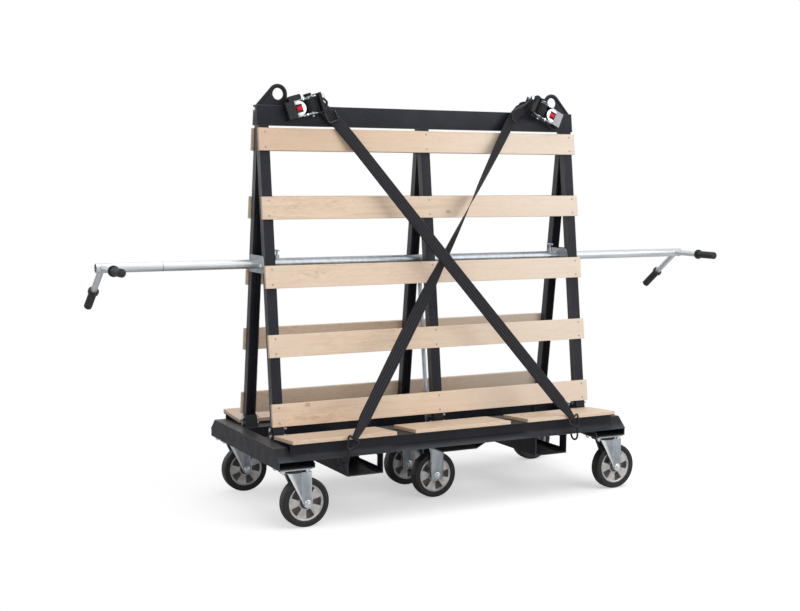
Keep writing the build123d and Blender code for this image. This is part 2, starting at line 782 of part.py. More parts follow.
def fixed_fork():
    """A fixed fork: top plate and two tapered legs with bent sides and rounded feet."""
    top = FIXED_FORK_TOP_W / 2
    foot = FIXED_FORK_FOOT_W / 2
    low = axle_z - FIXED_FORK_FOOT
    side = FilletPolyline(
        (top, base_z - PLATE_T),
        (foot + SHEET, base_z - FIXED_FORK_SHOULDER),
        (foot, low),
        (-foot, low),
        (-foot - SHEET, base_z - FIXED_FORK_SHOULDER),
        (-top, base_z - PLATE_T),
        radius=FIXED_FORK_FOOT / 2,
    )
    outline = face(side, Line((-top, base_z - PLATE_T), (top, base_z - PLATE_T)))
    plate = span(-PLATE_L / 2, PLATE_L / 2, -PLATE_W / 2, PLATE_W / 2, base_z - PLATE_T, base_z)
    whole = plate_y(outline, fork_in, fork_out)
    middle = whole & span(-FIXED_CREASE, FIXED_CREASE, 0, fork_out, 0, base_z)
    wing = whole & span(FIXED_CREASE, top, 0, fork_out, 0, base_z)
    hinge = Pos(FIXED_CREASE, fork_out, 0)
    wing = hinge * Rot(0, 0, -FIXED_CREASE_ANGLE) * hinge.inverse() * wing
    side_leg = middle + wing + other_end(wing)
    fork = plate + side_leg + rear(side_leg)
    return fork - rod(AXLE_D / 2 + RUN, (0, -PLATE_W, axle_z), (0, PLATE_W, axle_z))


# Ratchet units
def unit_plane(side):
    """The unit's frame at the left end: u inwards along the unit, v up, w out of the beam's face."""
    inset, rise = UNIT_AT[side]
    base_height = beam_top + rise - SPOOL_H * sin(lean)
    along = (base_height - base_top - BEAM_T * sin(lean)) / cos(lean)
    start = front.from_local_coords(Vector(inset - deck_end, along, BEAM_T))
    turn = radians(UNIT_TILT[side])
    return Plane(start, x_dir=front.x_dir * cos(turn) + front.y_dir * sin(turn), z_dir=front.z_dir)


def placed(side, solid):
    """A unit's solid moved from the unit's frame to the trolley, mirrored to the right end."""
    moved = unit_plane(side) * solid
    return moved if side == "left" else other_end(moved)


def ratchet_frame(side):
    """The folded frame: base, side plates, bridge with a slotted disc, and the hook's headed pin."""
    inner = UNIT_GAP / 2
    outer = spool_reach
    frame = span(-UNIT_OUT, UNIT_IN, -outer, outer, 0, UNIT_T)
    crest = SPOOL_H + ROLL_R / 2
    profile = face(
        Polyline((SIDE_IN, 0), (-BRIDGE_OUT, 0), (-BRIDGE_OUT, BRIDGE_H), (-BRIDGE_IN, BRIDGE_H), (0, crest)),
        ThreePointArc((0, crest), (SIDE_WAIST, SPOOL_H), (SIDE_IN, 0)),
    )
    frame += plate_y(profile, inner, outer) + plate_y(profile, -outer, -inner)
    frame += span(-BRIDGE_OUT, -BRIDGE_IN, -outer, outer, BRIDGE_H - UNIT_T, BRIDGE_H)
    disc_top = BRIDGE_H + DISC_H
    disc = rod(DISC_R, (BUTTON_U, 0, BRIDGE_H - UNIT_T), (BUTTON_U, 0, disc_top))
    frame += disc & span(-BRIDGE_OUT, 0, -outer, outer, 0, disc_top)
    for v in (-(inner + outer) / 2, (inner + outer) / 2):
        low = (BRIDGE_PIN_U, v, BRIDGE_H - BRIDGE_PIN_H)
        frame += rod(BRIDGE_PIN_D / 2, low, (BRIDGE_PIN_U, v, BRIDGE_H + BRIDGE_PIN_H / 2))
    pin_top = HOOK_H[side] + HOOK_WIRE / 2 + RUB
    frame += rod(HOOK_PIN_D / 2, (HOOK_U, HOOK_V, 0), (HOOK_U, HOOK_V, pin_top))
    frame += rod(HOOK_EYE_R, (HOOK_U, HOOK_V, pin_top), (HOOK_U, HOOK_V, pin_top + UNIT_T))
    frame -= rod(SPOOL_D / 2 + RUN, (0, -2 * outer, SPOOL_H), (0, 2 * outer, SPOOL_H))
    slot = HOUSING_W / 2 + SEAT
    slot_end = BUTTON_U + HOUSING_L / 2 + SEAT
    return frame - span(-BRIDGE_OUT, slot_end, -slot, slot, UNIT_T, disc_top)


def retractor_cover(side):
    """The outer cover: a folded shell, with a rounded guard along the top of the left one."""
    outer = spool_reach
    end = -BRIDGE_OUT - SEAT
    shell = span(-UNIT_OUT, end, -outer, outer, UNIT_T, BRIDGE_H)
    shell -= span(-UNIT_OUT + UNIT_T, end, -outer + UNIT_T, outer - UNIT_T, UNIT_T, BRIDGE_H - UNIT_T)
    if side == "right":
        return shell
    guard_end = -RATCHET_R - 2 * UNIT_T
    block = span(-UNIT_OUT + GUARD_W, guard_end, outer + SEAT, outer + GUARD_W, GUARD_LOW, GUARD_TOP)
    block = fillet(block.edges().filter_by(Axis.Z), GUARD_W / 3)
    block += span(-UNIT_OUT, end, outer - UNIT_T, outer + UNIT_T, GUARD_LOW, GUARD_TOP)
    block -= span(-BRIDGE_OUT - SEAT, guard_end, 0, outer + SEAT, GUARD_LOW, GUARD_TOP)
    return shell + block


def button_housing():
    """The insert in the bridge's slot that guides the release button."""
    end = HOUSING_L / 2
    side = HOUSING_W / 2
    housing = span(BUTTON_U - end, BUTTON_U + end, -side, side, UNIT_T, BRIDGE_H)
    half_l = BUTTON_L / 2 + RUB
    half_w = BUTTON_W / 2 + RUB
    floor = BRIDGE_H / 2
    return housing - span(BUTTON_U - half_l, BUTTON_U + half_l, -half_w, half_w, floor, BRIDGE_H)


def release_button():
    """The button, with room below it for its travel."""
    low = BRIDGE_H / 2 + BUTTON_TRAVEL + RUB
    half_l = BUTTON_L / 2
    button = span(BUTTON_U - half_l, BUTTON_U + half_l, -BUTTON_W / 2, BUTTON_W / 2, low, BUTTON_TOP)
    return chamfer(button.faces().sort_by(Axis.Z)[-1].edges(), BUTTON_W / 8)


def toothed(radius, depth, teeth):
    """A ratchet wheel's outline, with one steep side to each tooth."""
    points = []
    for number in range(teeth):
        angle = 2 * pi * number / teeth
        points.append((radius * cos(angle), radius * sin(angle)))
        points.append(((radius - depth) * cos(angle), (radius - depth) * sin(angle)))
    return face(Polyline(*points, close=True))


def spool():
    """The shaft, the webbing wound on it with its outer turn, two ratchet wheels and an end cap."""
    reach = spool_reach + 2 * RATCHET_T + LEVER_T + 4 * RUB
    shaft = rod(SPOOL_D / 2, (0, -reach, 0), (0, reach, 0))
    half = UNIT_GAP / 2 - ROLL_IN
    angles = [radians(share * (360 - ROLL_GAP)) for share in (0, 0.5, 1)]
    start, middle, end = [Vector(ROLL_R * cos(angle), ROLL_R * sin(angle)) for angle in angles]
    turn = face(ThreePointArc(start, middle, end), Polyline(end, (0, 0), start))
    roll = rod(ROLL_R - WEB_T, (0, -half, 0), (0, half, 0)) + plate_y(turn, -half, half)
    cap = spool_reach + RATCHET_T + LEVER_T + 4 * RUB
    body = shaft + roll + rod(CAP_R, (0, cap, 0), (0, cap + CAP_T, 0))
    wheel = toothed(RATCHET_R, TOOTH, TEETH)
    near = spool_reach + RUB
    body += plate_y(wheel, near, near + RATCHET_T) + plate_y(wheel, -near - RATCHET_T, -near)
    return Pos(0, 0, SPOOL_H) * body


def ratchet_lever():
    """Two arms on the spool's shaft, joined by a hollow cross grip."""
    near = spool_reach + 2 * RUB + RATCHET_T
    far = near + LEVER_T
    arm = face(
        ThreePointArc(
            (0, SPOOL_H + LEVER_PIVOT_R),
            (-LEVER_PIVOT_R, SPOOL_H),
            (0, SPOOL_H - LEVER_PIVOT_R),
        ),
        Polyline(
            (0, SPOOL_H - LEVER_PIVOT_R),
            (LEVER_OUT, LEVER_LOW),
            (LEVER_OUT, LEVER_TOP),
            (LEVER_IN, LEVER_TOP),
            (0, SPOOL_H + LEVER_PIVOT_R),
        ),
    )
    lever = plate_y(arm, near, far) + plate_y(arm, -far, -near)
    lever += span(LEVER_IN, LEVER_OUT, -far, far, LEVER_LOW, LEVER_TOP)
    lever -= span(LEVER_IN + LEVER_T, LEVER_OUT, -near, near, LEVER_LOW + LEVER_T, LEVER_TOP - LEVER_T)
    return lever - rod(SPOOL_D / 2 + RUN, (0, -2 * far, SPOOL_H), (0, 2 * far, SPOOL_H))


def unit_hook(side):
    """A wire hook that hangs on the pin by a turned eye."""
    start = (HOOK_U, HOOK_V - (HOOK_EYE_R + HOOK_PIN_D / 2) / 2)
    path = FilletPolyline(start, *HOOK_POINTS[side], radius=HOOK_BEND)
    half = HOOK_WIRE / 2
    level = HOOK_H[side]
    low = (HOOK_U, HOOK_V, level - half)
    high = (HOOK_U, HOOK_V, level + half)
    hook = Pos(0, 0, level) * wire(Wire(path.edges()), half) + rod(HOOK_EYE_R, low, high)
    return hook - rod(HOOK_PIN_D / 2 + RUN, low, high)


# Straps
def ribbon(stops):
    """A flat strap through places, each with a travel direction, an outward one, a twist and a width."""
    sections = []
    for place, travel, outward, twist, width in stops:
        across = travel.cross(outward).normalized()
        section = Plane(place, x_dir=across, z_dir=travel)
        sections.append(section * Rot(0, 0, twist) * Rectangle(width, WEB_T))
    return loft(sections, ruled=True)


def strap_top(side):
    """The strap's upper end on the unit's base, and the beam's outward direction."""
    frame = unit_plane(side)
    start = frame.from_local_coords(Vector(STRAP_TOP_U, STRAP_TOP_V, UNIT_T + STRAP_LIFT))
    return start if side == "left" else Vector(-start.X, start.Y, start.Z)


def strap_end(x):
    """The strap's lower end, in front of the deck's edge."""
    return Vector(x, -lip_y - STRAP_END_OUT, base_top + STRAP_END_RISE)


def gathered_end(end, travel, twist):
    """The last two stops of a strap, which narrows into its ring."""
    out = Vector(0, -1, 0)
    return [(end - travel * GATHER_L, travel, out, twist, WEB_W), (end, travel, out, twist, GATHER_W)]


def left_strap():
    """The near strap, bowed out a little where it crosses the other one."""
    start = strap_top("left")
    end = strap_end(LEFT_STRAP_END_X)
    part = (start.Z - cross_z) / (start.Z - end.Z)
    cross = Vector(start.X + (end.X - start.X) * part, CROSS_Y, cross_z)
    first = (cross - start).normalized()
    second = (end - cross).normalized()
    out = Vector(0, -1, 0)
    bend = (first + second).normalized()
    stops = [(start, first, front.z_dir, 0, WEB_W), (cross, bend, out, 0, WEB_W)]
    return ribbon(stops + gathered_end(end, second, 0))


def right_strap():
    """The far strap, which turns over once just where it crosses behind the near one."""
    start = strap_top("right")
    turn_z = beam_top + TURN_RISE
    turn = Vector(TURN_X, start.Y - (start.Z - turn_z) * tan(lean) - TURN_OUT, turn_z)
    end = strap_end(RIGHT_STRAP_END_X)
    part = (turn.Z - cross_z) / (turn.Z - end.Z)
    cross = Vector(turn.X + (end.X - turn.X) * part, CROSS_Y + CROSS_GAP, cross_z)
    lead = (turn - start).normalized()
    first = (cross - turn).normalized()
    second = (end - cross).normalized()
    out = Vector(0, -1, 0)
    bend = (lead + first).normalized()
    stops = [(start, lead, front.z_dir, 0, WEB_W), (turn, bend, front.z_dir, TURN_TWIST, WEB_W)]
    for share, twist in STRAP_TWIST:
        if share < 1:
            stops.append((turn + (cross - turn) * share, first, out, twist, WEB_W))
        else:
            place = cross + second * ((cross - turn).length * (share - 1))
            stops.append((place, second, out, twist, WEB_W))
    return ribbon(stops + gathered_end(end, second, STRAP_TWIST[-1][1]))


def strap_hook(x, from_x, side):
    """A wire ring in the strap's end with a claw that reaches under the lip."""
    end = strap_end(x)
    slant = Vector(x - from_x, 0, end.Z - beam_top).normalized()
    radius = RING_WIRE / 2
    gap = radius + RUB
    plane = Plane(end + slant * gap, x_dir=slant.cross(Vector(0, -1, 0)), z_dir=(0, -1, 0))
    down = -1 if plane.y_dir.Z > 0 else 1
    corners = [
        (-RING_W / 2, 0),
        (RING_W / 2, 0),
        (RING_NECK / 2, down * RING_H),
        (-RING_NECK / 2, down * RING_H),
    ]
    ring_path = plane * Wire(FilletPolyline(*corners, radius=RING_NECK / 3, close=True).edges())
    ring = wire(ring_path, radius)
    neck = plane.from_local_coords(Vector(0, down * RING_H, 0))
    turn = radians(CLAW_TURN[side])
    back = Plane(neck, x_dir=(-sin(turn), cos(turn), 0), z_dir=(cos(turn), sin(turn), 0))
    claw_path = back * Wire([
        Line((0, 0), (0, -CLAW_DROP)),
        ThreePointArc((0, -CLAW_DROP), (CLAW_R, -CLAW_DROP - CLAW_R), (2 * CLAW_R, -CLAW_DROP)),
        Line((2 * CLAW_R, -CLAW_DROP), (2 * CLAW_R, -CLAW_DROP + CLAW_TIP)),
    ])
    return ring + wire(claw_path, radius)


# The pieces, by node name
nodes["end_members"] = [end_member(), other_end(end_member())]
rear_side = side_beam()
nodes["side_beam_rear"] = [rear_side]
nodes["side_beam_front"] = [rear(rear_side)]
nodes["inner_rails"] = [inner_rail(), rear(inner_rail())]
nodes["fork_pockets"] = [fork_pocket(-POCKET_X), fork_pocket(POCKET_X)]
nodes["centre_cross_member"] = [cross_member()]
nodes["deck_ledges"] = [deck_ledge(), rear(deck_ledge())]
nodes["deck_boards_rear"] = deck_boards()
nodes["deck_boards_front"] = [rear(board) for board in deck_boards()]

feet = {"left": -leg_x, "middle": 0, "right": leg_x}
for name, x in feet.items():
    nodes[f"a_frame_{name}"] = [leg(x), rear(leg(x))]
shoes = [leg_shoe(x) for x in feet.values()]
nodes["leg_shoes"] = shoes + [rear(shoe) for shoe in shoes]
bolts = [foot_bolt(place) for x in feet.values() for place in foot_bolt_places(x)]
nodes["foot_bolts"] = bolts + [rear(bolt) for bolt in bolts]
nodes["top_beam"] = [top_beam()]
nodes["lifting_eyes"] = [other_end(lifting_eye()), lifting_eye()]
planks = load_planks()
nodes["load_planks"] = planks + [rear(plank) for plank in planks]

bracket_places = [leg_x + LEG_W / 2, leg_x - LEG_W / 2 - BRACKET_T]
brackets = [handle_bracket(x) for x in bracket_places]
nodes["handle_brackets"] = brackets + [other_end(plate) for plate in brackets] + [guide_stay()]
nodes["guide_tube"] = [guide_tube()]
nodes["handle_tube_right"] = [handle_tube()]
nodes["handle_tube_left"] = [other_end(handle_tube())]
nodes["grips_right"] = grips()
nodes["grips_left"] = [other_end(grip) for grip in grips()]
nodes["lock_screw_right"] = [lock_screw(lock_x)]
nodes["lock_screw_left"] = [lock_screw(-lock_x)]

corners = {
    "front_left": (-swivel_x, -swivel_y),
    "front_right": (swivel_x, -swivel_y),
    "rear_left": (-swivel_x, swivel_y),
    "rear_right": (swivel_x, swivel_y),
}
plate, fork, bolt, wheel, tread = swivel_plate(), swivel_fork(), axle(), rim(), tyre()
nodes["swivel_plates"] = [Pos(x, y, 0) * plate for x, y in corners.values()]
for name, (x, y) in corners.items():
    centre = Pos(x + TRAIL, y, axle_z)
    nodes[f"fork_{name}"] = [Pos(x, y, 0) * fork]
    nodes[f"axle_{name}"] = [centre * bolt]
    nodes[f"rim_{name}"] = [centre * wheel]
    nodes[f"tyre_{name}"] = [centre * tread]
fixed = {"front": -FIXED_Y, "rear": FIXED_Y}
nodes["fixed_forks"] = [Pos(0, y, 0) * fixed_fork() for y in fixed.values()]
nodes["fixed_axles"] = [Pos(0, y, axle_z) * bolt for y in fixed.values()]
for name, y in fixed.items():
    nodes[f"rim_middle_{name}"] = [Pos(0, y, axle_z) * wheel]
    nodes[f"tyre_middle_{name}"] = [Pos(0, y, axle_z) * tread]

sides = ("left", "right")
nodes["ratchet_frames"] = [placed(side, ratchet_frame(side)) for side in sides]
covers = [(side, piece) for side in sides for piece in (retractor_cover(side), button_housing())]
nodes["retractor_covers"] = [placed(side, piece) for side, piece in covers]
for side in sides:
    nodes[f"spool_{side}"] = [placed(side, spool())]
    nodes[f"ratchet_lever_{side}"] = [placed(side, ratchet_lever())]
    nodes[f"release_button_{side}"] = [placed(side, release_button())]
    nodes[f"unit_hook_{side}"] = [placed(side, unit_hook(side))]
nodes["straps"] = [left_strap(), right_strap()]
nodes["strap_hooks"] = [
    strap_hook(LEFT_STRAP_END_X, strap_top("left").X, "left"),
    strap_hook(RIGHT_STRAP_END_X, TURN_X, "right"),
]

os.makedirs("parts", exist_ok=True)
for name, pieces in nodes.items():
    solids = [solid for piece in pieces for solid in piece.solids()]
    export_step(Compound(solids), f"parts/{name}.step")
    print(name, len(solids))
print("nodes", len(nodes))
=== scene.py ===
import json
from math import ceil, cos, pi, radians, sin

import bmesh
import bpy
from mathutils import Matrix, Vector

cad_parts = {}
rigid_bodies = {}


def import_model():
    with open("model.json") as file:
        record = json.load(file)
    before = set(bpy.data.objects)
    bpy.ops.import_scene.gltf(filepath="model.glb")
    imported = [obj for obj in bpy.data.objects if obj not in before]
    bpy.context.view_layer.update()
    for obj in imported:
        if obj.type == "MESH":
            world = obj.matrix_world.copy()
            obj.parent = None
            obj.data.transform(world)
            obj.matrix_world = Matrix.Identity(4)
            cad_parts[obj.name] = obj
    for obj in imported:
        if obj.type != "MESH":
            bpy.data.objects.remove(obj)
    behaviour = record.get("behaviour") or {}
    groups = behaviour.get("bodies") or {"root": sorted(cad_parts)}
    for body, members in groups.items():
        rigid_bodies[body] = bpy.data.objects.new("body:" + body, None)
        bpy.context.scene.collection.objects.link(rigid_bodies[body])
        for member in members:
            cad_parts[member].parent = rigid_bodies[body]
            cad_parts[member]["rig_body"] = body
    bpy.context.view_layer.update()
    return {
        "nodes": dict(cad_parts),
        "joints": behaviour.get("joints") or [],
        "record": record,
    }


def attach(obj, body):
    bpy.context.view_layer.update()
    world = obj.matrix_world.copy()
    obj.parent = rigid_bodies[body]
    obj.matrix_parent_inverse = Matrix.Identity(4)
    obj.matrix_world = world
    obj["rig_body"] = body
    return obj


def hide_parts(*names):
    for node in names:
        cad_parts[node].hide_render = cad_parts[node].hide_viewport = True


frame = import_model()
scene = bpy.context.scene

# Names of bodies and places
TROLLEY = "trolley"
CORNERS = ("front_left", "front_right", "rear_left", "rear_right")
WHEELS = CORNERS + ("middle_front", "middle_rear")
SIDES = ("left", "right")

# Rack, as in the solids; sizes are in metres where nothing else is said
LEAN = radians(7.03)
FOOT_Y = 0.17901
BASE_TOP = 0.325
LEG_X = 0.74
LEG_T = 0.003
PLANKS = 5
PLANK_T = 0.015
PLANK_H = 0.0924
PLANK_START = 0.051
PLANK_PITCH = 0.28

# Lower part of the side beams' lip, painted lighter as a painted highlight where it turns up to the light:
# its height, and where that ends
LIP_LOW = 0.274
LIP_HIGHLIGHT_END = 0.3

# Places of the bolts and screws
SCREW_IN = 0.0154
BEAM_END = 0.77
BEAM_BOLT_Z = 1.655
BRACKET_OUT = 0.766
BRACKET_BOLT_Y = 0.056
BRACKET_BOLT_Z = 1.022
PLATE_Z = 0.241
PLATE_BOLT_X = 0.0525
PLATE_BOLT_Y = 0.041
FIXED_Y = 0.13

# Fasteners: across flats, height, washer radius, stud end
CASTER_NUT = (0.017, 0.008, 0.0105, 0.005)
FRAME_BOLT = (0.013, 0.006, 0.009)
WASHER_T = 0.0016
WASHER_WALL = 0.0013
WASHER_BEVEL = 0.0004
HEX_BEVEL = 0.16
HEX_TOP = 0.9
STUD_SHARE = 0.28
STUD_BEVEL = 0.001
THREADS = 6
THREAD_PITCH = 0.0016

# Turned forms, (radius, height)
SCREW_HEAD = [
    (0.0044, 0.0), (0.0043, 0.0005), (0.0038, 0.0011), (0.0028, 0.0015), (0.0018, 0.0017),
    (0.0016, 0.0012), (0.0015, 0.0007),
]
SCREW_TIP = [(0.0006, -0.014), (0.0023, -0.009), (0.0023, 0.0)]
STUD_START = (0.0048, 0.0)
STUD_THREAD = [(0.0048, 0.0006), (0.0043, 0.0013)]
STUD_END = (0.0036, 0.0105)
AXLE_TIP = [(0.0062, 0.0), (0.0062, 0.0018), (0.0052, 0.003), (0.003, 0.0036)]
PIVOT_HEAD = [(0.0066, 0.0), (0.0064, 0.0012), (0.0052, 0.0026), (0.003, 0.0034)]
SHAFT = [(0.004, -0.044), (0.005, -0.043), (0.005, 0.043), (0.004, 0.044)]
SHAFT_CAP = [
    (0.0155, 0.0412), (0.017, 0.0427), (0.017, 0.0487), (0.0155, 0.0502), (0.006, 0.0502), (0.0055, 0.0492),
]

# Turned rings, (radius, height) in millimetres; the tyre's is one half
TYRE_PROFILE = [
    (74.1, 20.8), (75.2, 22.6), (76.8, 23.7), (79.4, 24.1), (80.2, 23.4), (81.2, 23.4), (82.0, 24.3),
    (86.4, 24.7), (89.2, 24.9), (90.0, 24.2), (91.0, 24.2), (91.8, 24.6), (94.6, 23.9), (96.6, 22.9),
    (97.9, 21.6), (98.9, 19.4), (99.5, 16.6), (99.8, 12.6), (100.0, 6.0),
]
# The black ring round each swivel head, a painted shade for the gap under its plate
SHADE_RING_PROFILE = [
    (48.5, 228.4), (51.2, 228.5), (51.9, 229.4), (51.9, 231.6), (51.3, 234.4), (50.0, 236.0), (46.4, 238.8),
    (43.4, 240.5), (41.5, 240.5), (44.0, 238.0), (48.5, 233.0),
]
WASHER_PROFILE = [(9.6, 0.0), (14.4, 0.0), (14.4, 1.2), (13.7, 1.7), (9.6, 1.7)]

# Casters: axle ends from the wheel's middle, and the pockets of the wheel centre
AXLE_SEAT = 0.0381
AXLE_END = 0.0451
RECESS_R = 0.0665
RECESS_LEVEL = 0.0145
RECESS_FACING = 0.7

# Painted highlight along the leading edge of a swivel fork, from its axis: top, start, run back for each
# drop, length, and the share of the rest that the highlight spans
FORK_TOP = 0.228
FORK_LEAD = 0.03
FORK_SLOPE = 0.514
FORK_LENGTH = 0.136
HIGHLIGHT_SHARE = 0.19

# Rounded copies: width of each kind of corner, the angles that count and the shortest creased edge
WOOD_ROUND = 0.0016
SHEET_ROUND = 0.0014
LEG_ROUND = 0.002
PLATE_ROUND = 0.0012
THIN_ROUND = 0.0008
RIM_ROUND = 0.0007
FORK_CREASE = 0.002
CORNER = radians(25)
BEND = radians(8)
FLAT = radians(0.5)
LONG_EDGE = 0.03
MERGE = 2e-6
LEG_FACING = 0.99

# Ratchet units, in a unit's own frame (u inwards, v up, w out of the beam)
SPOOL_H = 0.029
TEETH = 12
TOOTH_R = 0.025
TOOTH_ROOT = 0.0215
TOOTHED_SPAN = (0.0343, 0.0373)
DISC_LEVEL = 0.0435
BASE_DARK = 0.015
BASE_LOW = 0.02
SIDE_OUT = 0.034
ARM_IN = 0.036
FRAME_SCREW_U = -0.037
PIVOT_OUT = 0.044
COVER_TOP = 0.043
COVER_SPAN = (-0.11, -0.0735)
PLATE_INSET = 0.001
PLATE_STEPS = ((0.0, 0.0001), (0.0, 0.0004), (0.0003, 0.0006))

# Sleeve on a lever's cross bar; its ends are (share of its reach, growth)
GRIP_IN = 0.037
GRIP_OUT = {"left": 0.0504, "right": 0.0552}
GRIP_LOW = 0.0252
GRIP_HIGH = 0.0588
GRIP_ROUND = 0.005
GRIP_STEPS = 4
GRIP_REACH = 0.0412
GRIP_ENDS = [(-1, -0.002), (-0.985, 0.0), (-0.86, 0.0), (-0.78, -0.0012)]

# Webbing: width, thickness, weave, stripes, and its outline as shares of half the width and thickness
WEB_W = 0.053
WEB_T = 0.0022
RIB = 0.0021
YARN = 0.0032
YARN_SLANT = 700.0
STRIPE = 0.0106
STRIP_OUTLINE = [
    (-1, 0.35), (-0.97, 1), (-0.5, 1), (0, 1), (0.5, 1), (0.97, 1), (1, 0.35),
    (1, -0.35), (0.97, -1), (0.5, -1), (0, -1), (-0.5, -1), (-0.97, -1), (-1, -0.35),
]

# Webbing wound on a spool
ROLL_R = 0.024
ROLL_CORE = 0.0052
ROLL_TURNS = 6.4
ROLL_STEPS = 360
ROLL_RIPPLE = 0.034
ROLL_FOLDS = 9

# Routes of the straps, from the unit to the ring
STRAP_LEFT = [
    (-0.4927, -0.0202, 1.6771), (-0.412, -0.0464, 1.6014),
    (-0.0037, -0.222, 1.046), (0.534, -0.406, 0.352),
]
STRAP_RIGHT = [
    (0.53495, -0.01754, 1.6989), (0.468, -0.0284, 1.692),
    (0.0125, -0.19, 1.046), (-0.508, -0.406, 0.352),
]
STRAP_STEP = 0.012
EASE_REACH = 4
EASE_ROUNDS = 3
# Twist of the right strap: share of the way from its turn to the crossing, degrees
STRAP_TWIST = [
    (0, -13), (0.18, -19), (0.27, -23), (0.4, -34), (0.55, -47), (0.62, -58), (0.74, -71), (0.85, -82),
    (0.99, -94), (1.08, -102), (1.17, -115), (1.35, -136), (1.55, -155), (1.85, -180),
]

# Sewn end of a strap: gathered width and length, the ring's bar, the turn round it, and the lap back up
# (distance, and its lift as shares of the turn's radius and of the lap's thickness)
GATHER_W = 0.022
GATHER_L = 0.09
RING_R = 0.003
RING_ROOM = 0.0003
RUN_END = 0.04
LOOP_START = 0.02
LOOP_BACK = 0.8
LOOP_STEPS = 8
STITCH = 0.0005
LAP = ((0.012, 0.9, 0.0), (0.03, 0.6, 0.4), (0.05, 0.0, 1.0), (0.095, 0.0, 1.0))

# Wires: how much stouter than their solids
WIRE_MORE = 0.0012
HOOK_MORE = 0.0019

# Timber: knots on the front planks, thickness of two layers, where its tone changes (painted shade at the
# planks' upper left, a painted sheen at their right, thinner mottle to the right), and colours
KNOTS = ((-0.6136, -0.1778, 0.4576), (0.09, -0.0818, 1.2358))
KNOT_STRETCH = (0.8, 1, 1.25)
PLY = 0.005
PAINTED_SHADE_LEFT = 0.25
PAINTED_SHADE_ABOVE = 1.0
SHEEN_RIGHT = -0.05
MOTTLE_LEFT = -0.5
BEECH_PALE = (0.82, 0.66, 0.515)
BEECH_MIDDLE = (0.77, 0.59, 0.435)
BEECH_DEEP = (0.64, 0.445, 0.295)
BEECH_SHEEN = (0.8, 0.71, 0.615)
BEECH_MOTTLE = (0.6, 0.4, 0.255)
BEECH_KNOT = (0.33, 0.19, 0.1)
BEECH_LAYER = (0.42, 0.27, 0.17)
BEECH_FLECK = (0.4, 0.255, 0.15)

# Other colours of dust and painted reflection, wear and marks, and the place of the left handle's mark
DUST_AND_REFLECTION = (0.17, 0.148, 0.13)
SCUFF = (0.14, 0.14, 0.15)
STAIN = (0.36, 0.36, 0.35)
RUB = (0.16, 0.16, 0.16)
MARK = (0.1, 0.1, 0.1)
TUBE_MARK = 1.164
YARN_DARK = (0.008, 0.0082, 0.0102)
YARN_LIGHT = (0.022, 0.0222, 0.027)
YARN_WORN = (0.03, 0.03, 0.035)
YARN_EDGE = (0.011, 0.011, 0.0135)
YARN_STRIPE = (0.05, 0.05, 0.057)

# Studio: light of the world, floor, lamps (name, place, aim, size, watts) and camera
WHITE = (1, 1, 1, 1)
WORLD_LIGHT = 0.36
FRONT_ROOM = 0.5
ROOM_FADE = 0.3
FLOOR_SIZE = 60
FLOOR_GREY = (0.8, 0.8, 0.8, 1)
FLOOR_GLOW = 0.46
SHADE_AT = (0.4, -0.25, 0.0)
SHADE_NEAR = 0.8
SHADE_FAR = 2.0
LAMPS = (
    ("overhead", (0.3, -0.6, 4.8), (0, 0, 0.4), 5.0, 116),
    ("key", (3.6, -4.9, 3.2), (0.2, 0, 0.9), 5.6, 168),
    ("fill", (-2.4, -5.6, 1.8), (0, 0, 0.8), 2.6, 48),
)
CAMERA_AT = (-2.74102, -5.07776, 1.40384)
CAMERA_YAW = radians(27.482)
CAMERA_PITCH = radians(5.75)
CAMERA_ROLL = radians(0.3625)
CAMERA_LENS = 59.53
CAMERA_SENSOR = 36
CAMERA_FAR = 200

front_normal = Vector((0, -cos(LEAN), sin(LEAN)))
front_up = Vector((0, sin(LEAN), cos(LEAN)))


# Materials
class Nodes:
    """A node tree with short calls for the nodes that it uses."""

    def __init__(self, tree):
        self.tree = tree

    def feed(self, socket, value):
        """Links an output to an input, or sets a plain value on it."""
        if isinstance(value, bpy.types.NodeSocket):
            self.tree.links.new(value, socket)
        else:
            socket.default_value = value

    def add(self, kind, feeds=None, **settings):
        """The outputs of a new node, with its properties set and its inputs fed by their names or numbers."""
        node = self.tree.nodes.new(kind)
        for name, value in settings.items():
            setattr(node, name, value)
        for key, value in (feeds or {}).items():
            self.feed(node.inputs[key], value)
        return node.outputs

    def math(self, operation, first, second=0.0):
        """One sum on numbers."""
        return self.add("ShaderNodeMath", {0: first, 1: second}, operation=operation)[0]

    def times(self, first, second):
        """The product of two numbers."""
        return self.math("MULTIPLY", first, second)

    def wave(self, place, period):
        """A sine with a real period."""
        return self.math("SINE", self.times(place, 2 * pi / period))

    def measure(self, operation, first, second):
        """One sum on vectors that gives a number."""
        return self.add("ShaderNodeVectorMath", {0: first, 1: second}, operation=operation)["Value"]

    def split(self, vector):
        """The three parts of a vector."""
        return self.add("ShaderNodeSeparateXYZ", {0: vector})

    def grade(self, value, start, end, low=0.0):
        """A smooth rise from low to 1 as a value goes from start to end."""
        feeds = {"Value": value, "From Min": start, "From Max": end, "To Min": low}
        return self.add("ShaderNodeMapRange", feeds, interpolation_type="SMOOTHSTEP")["Result"]


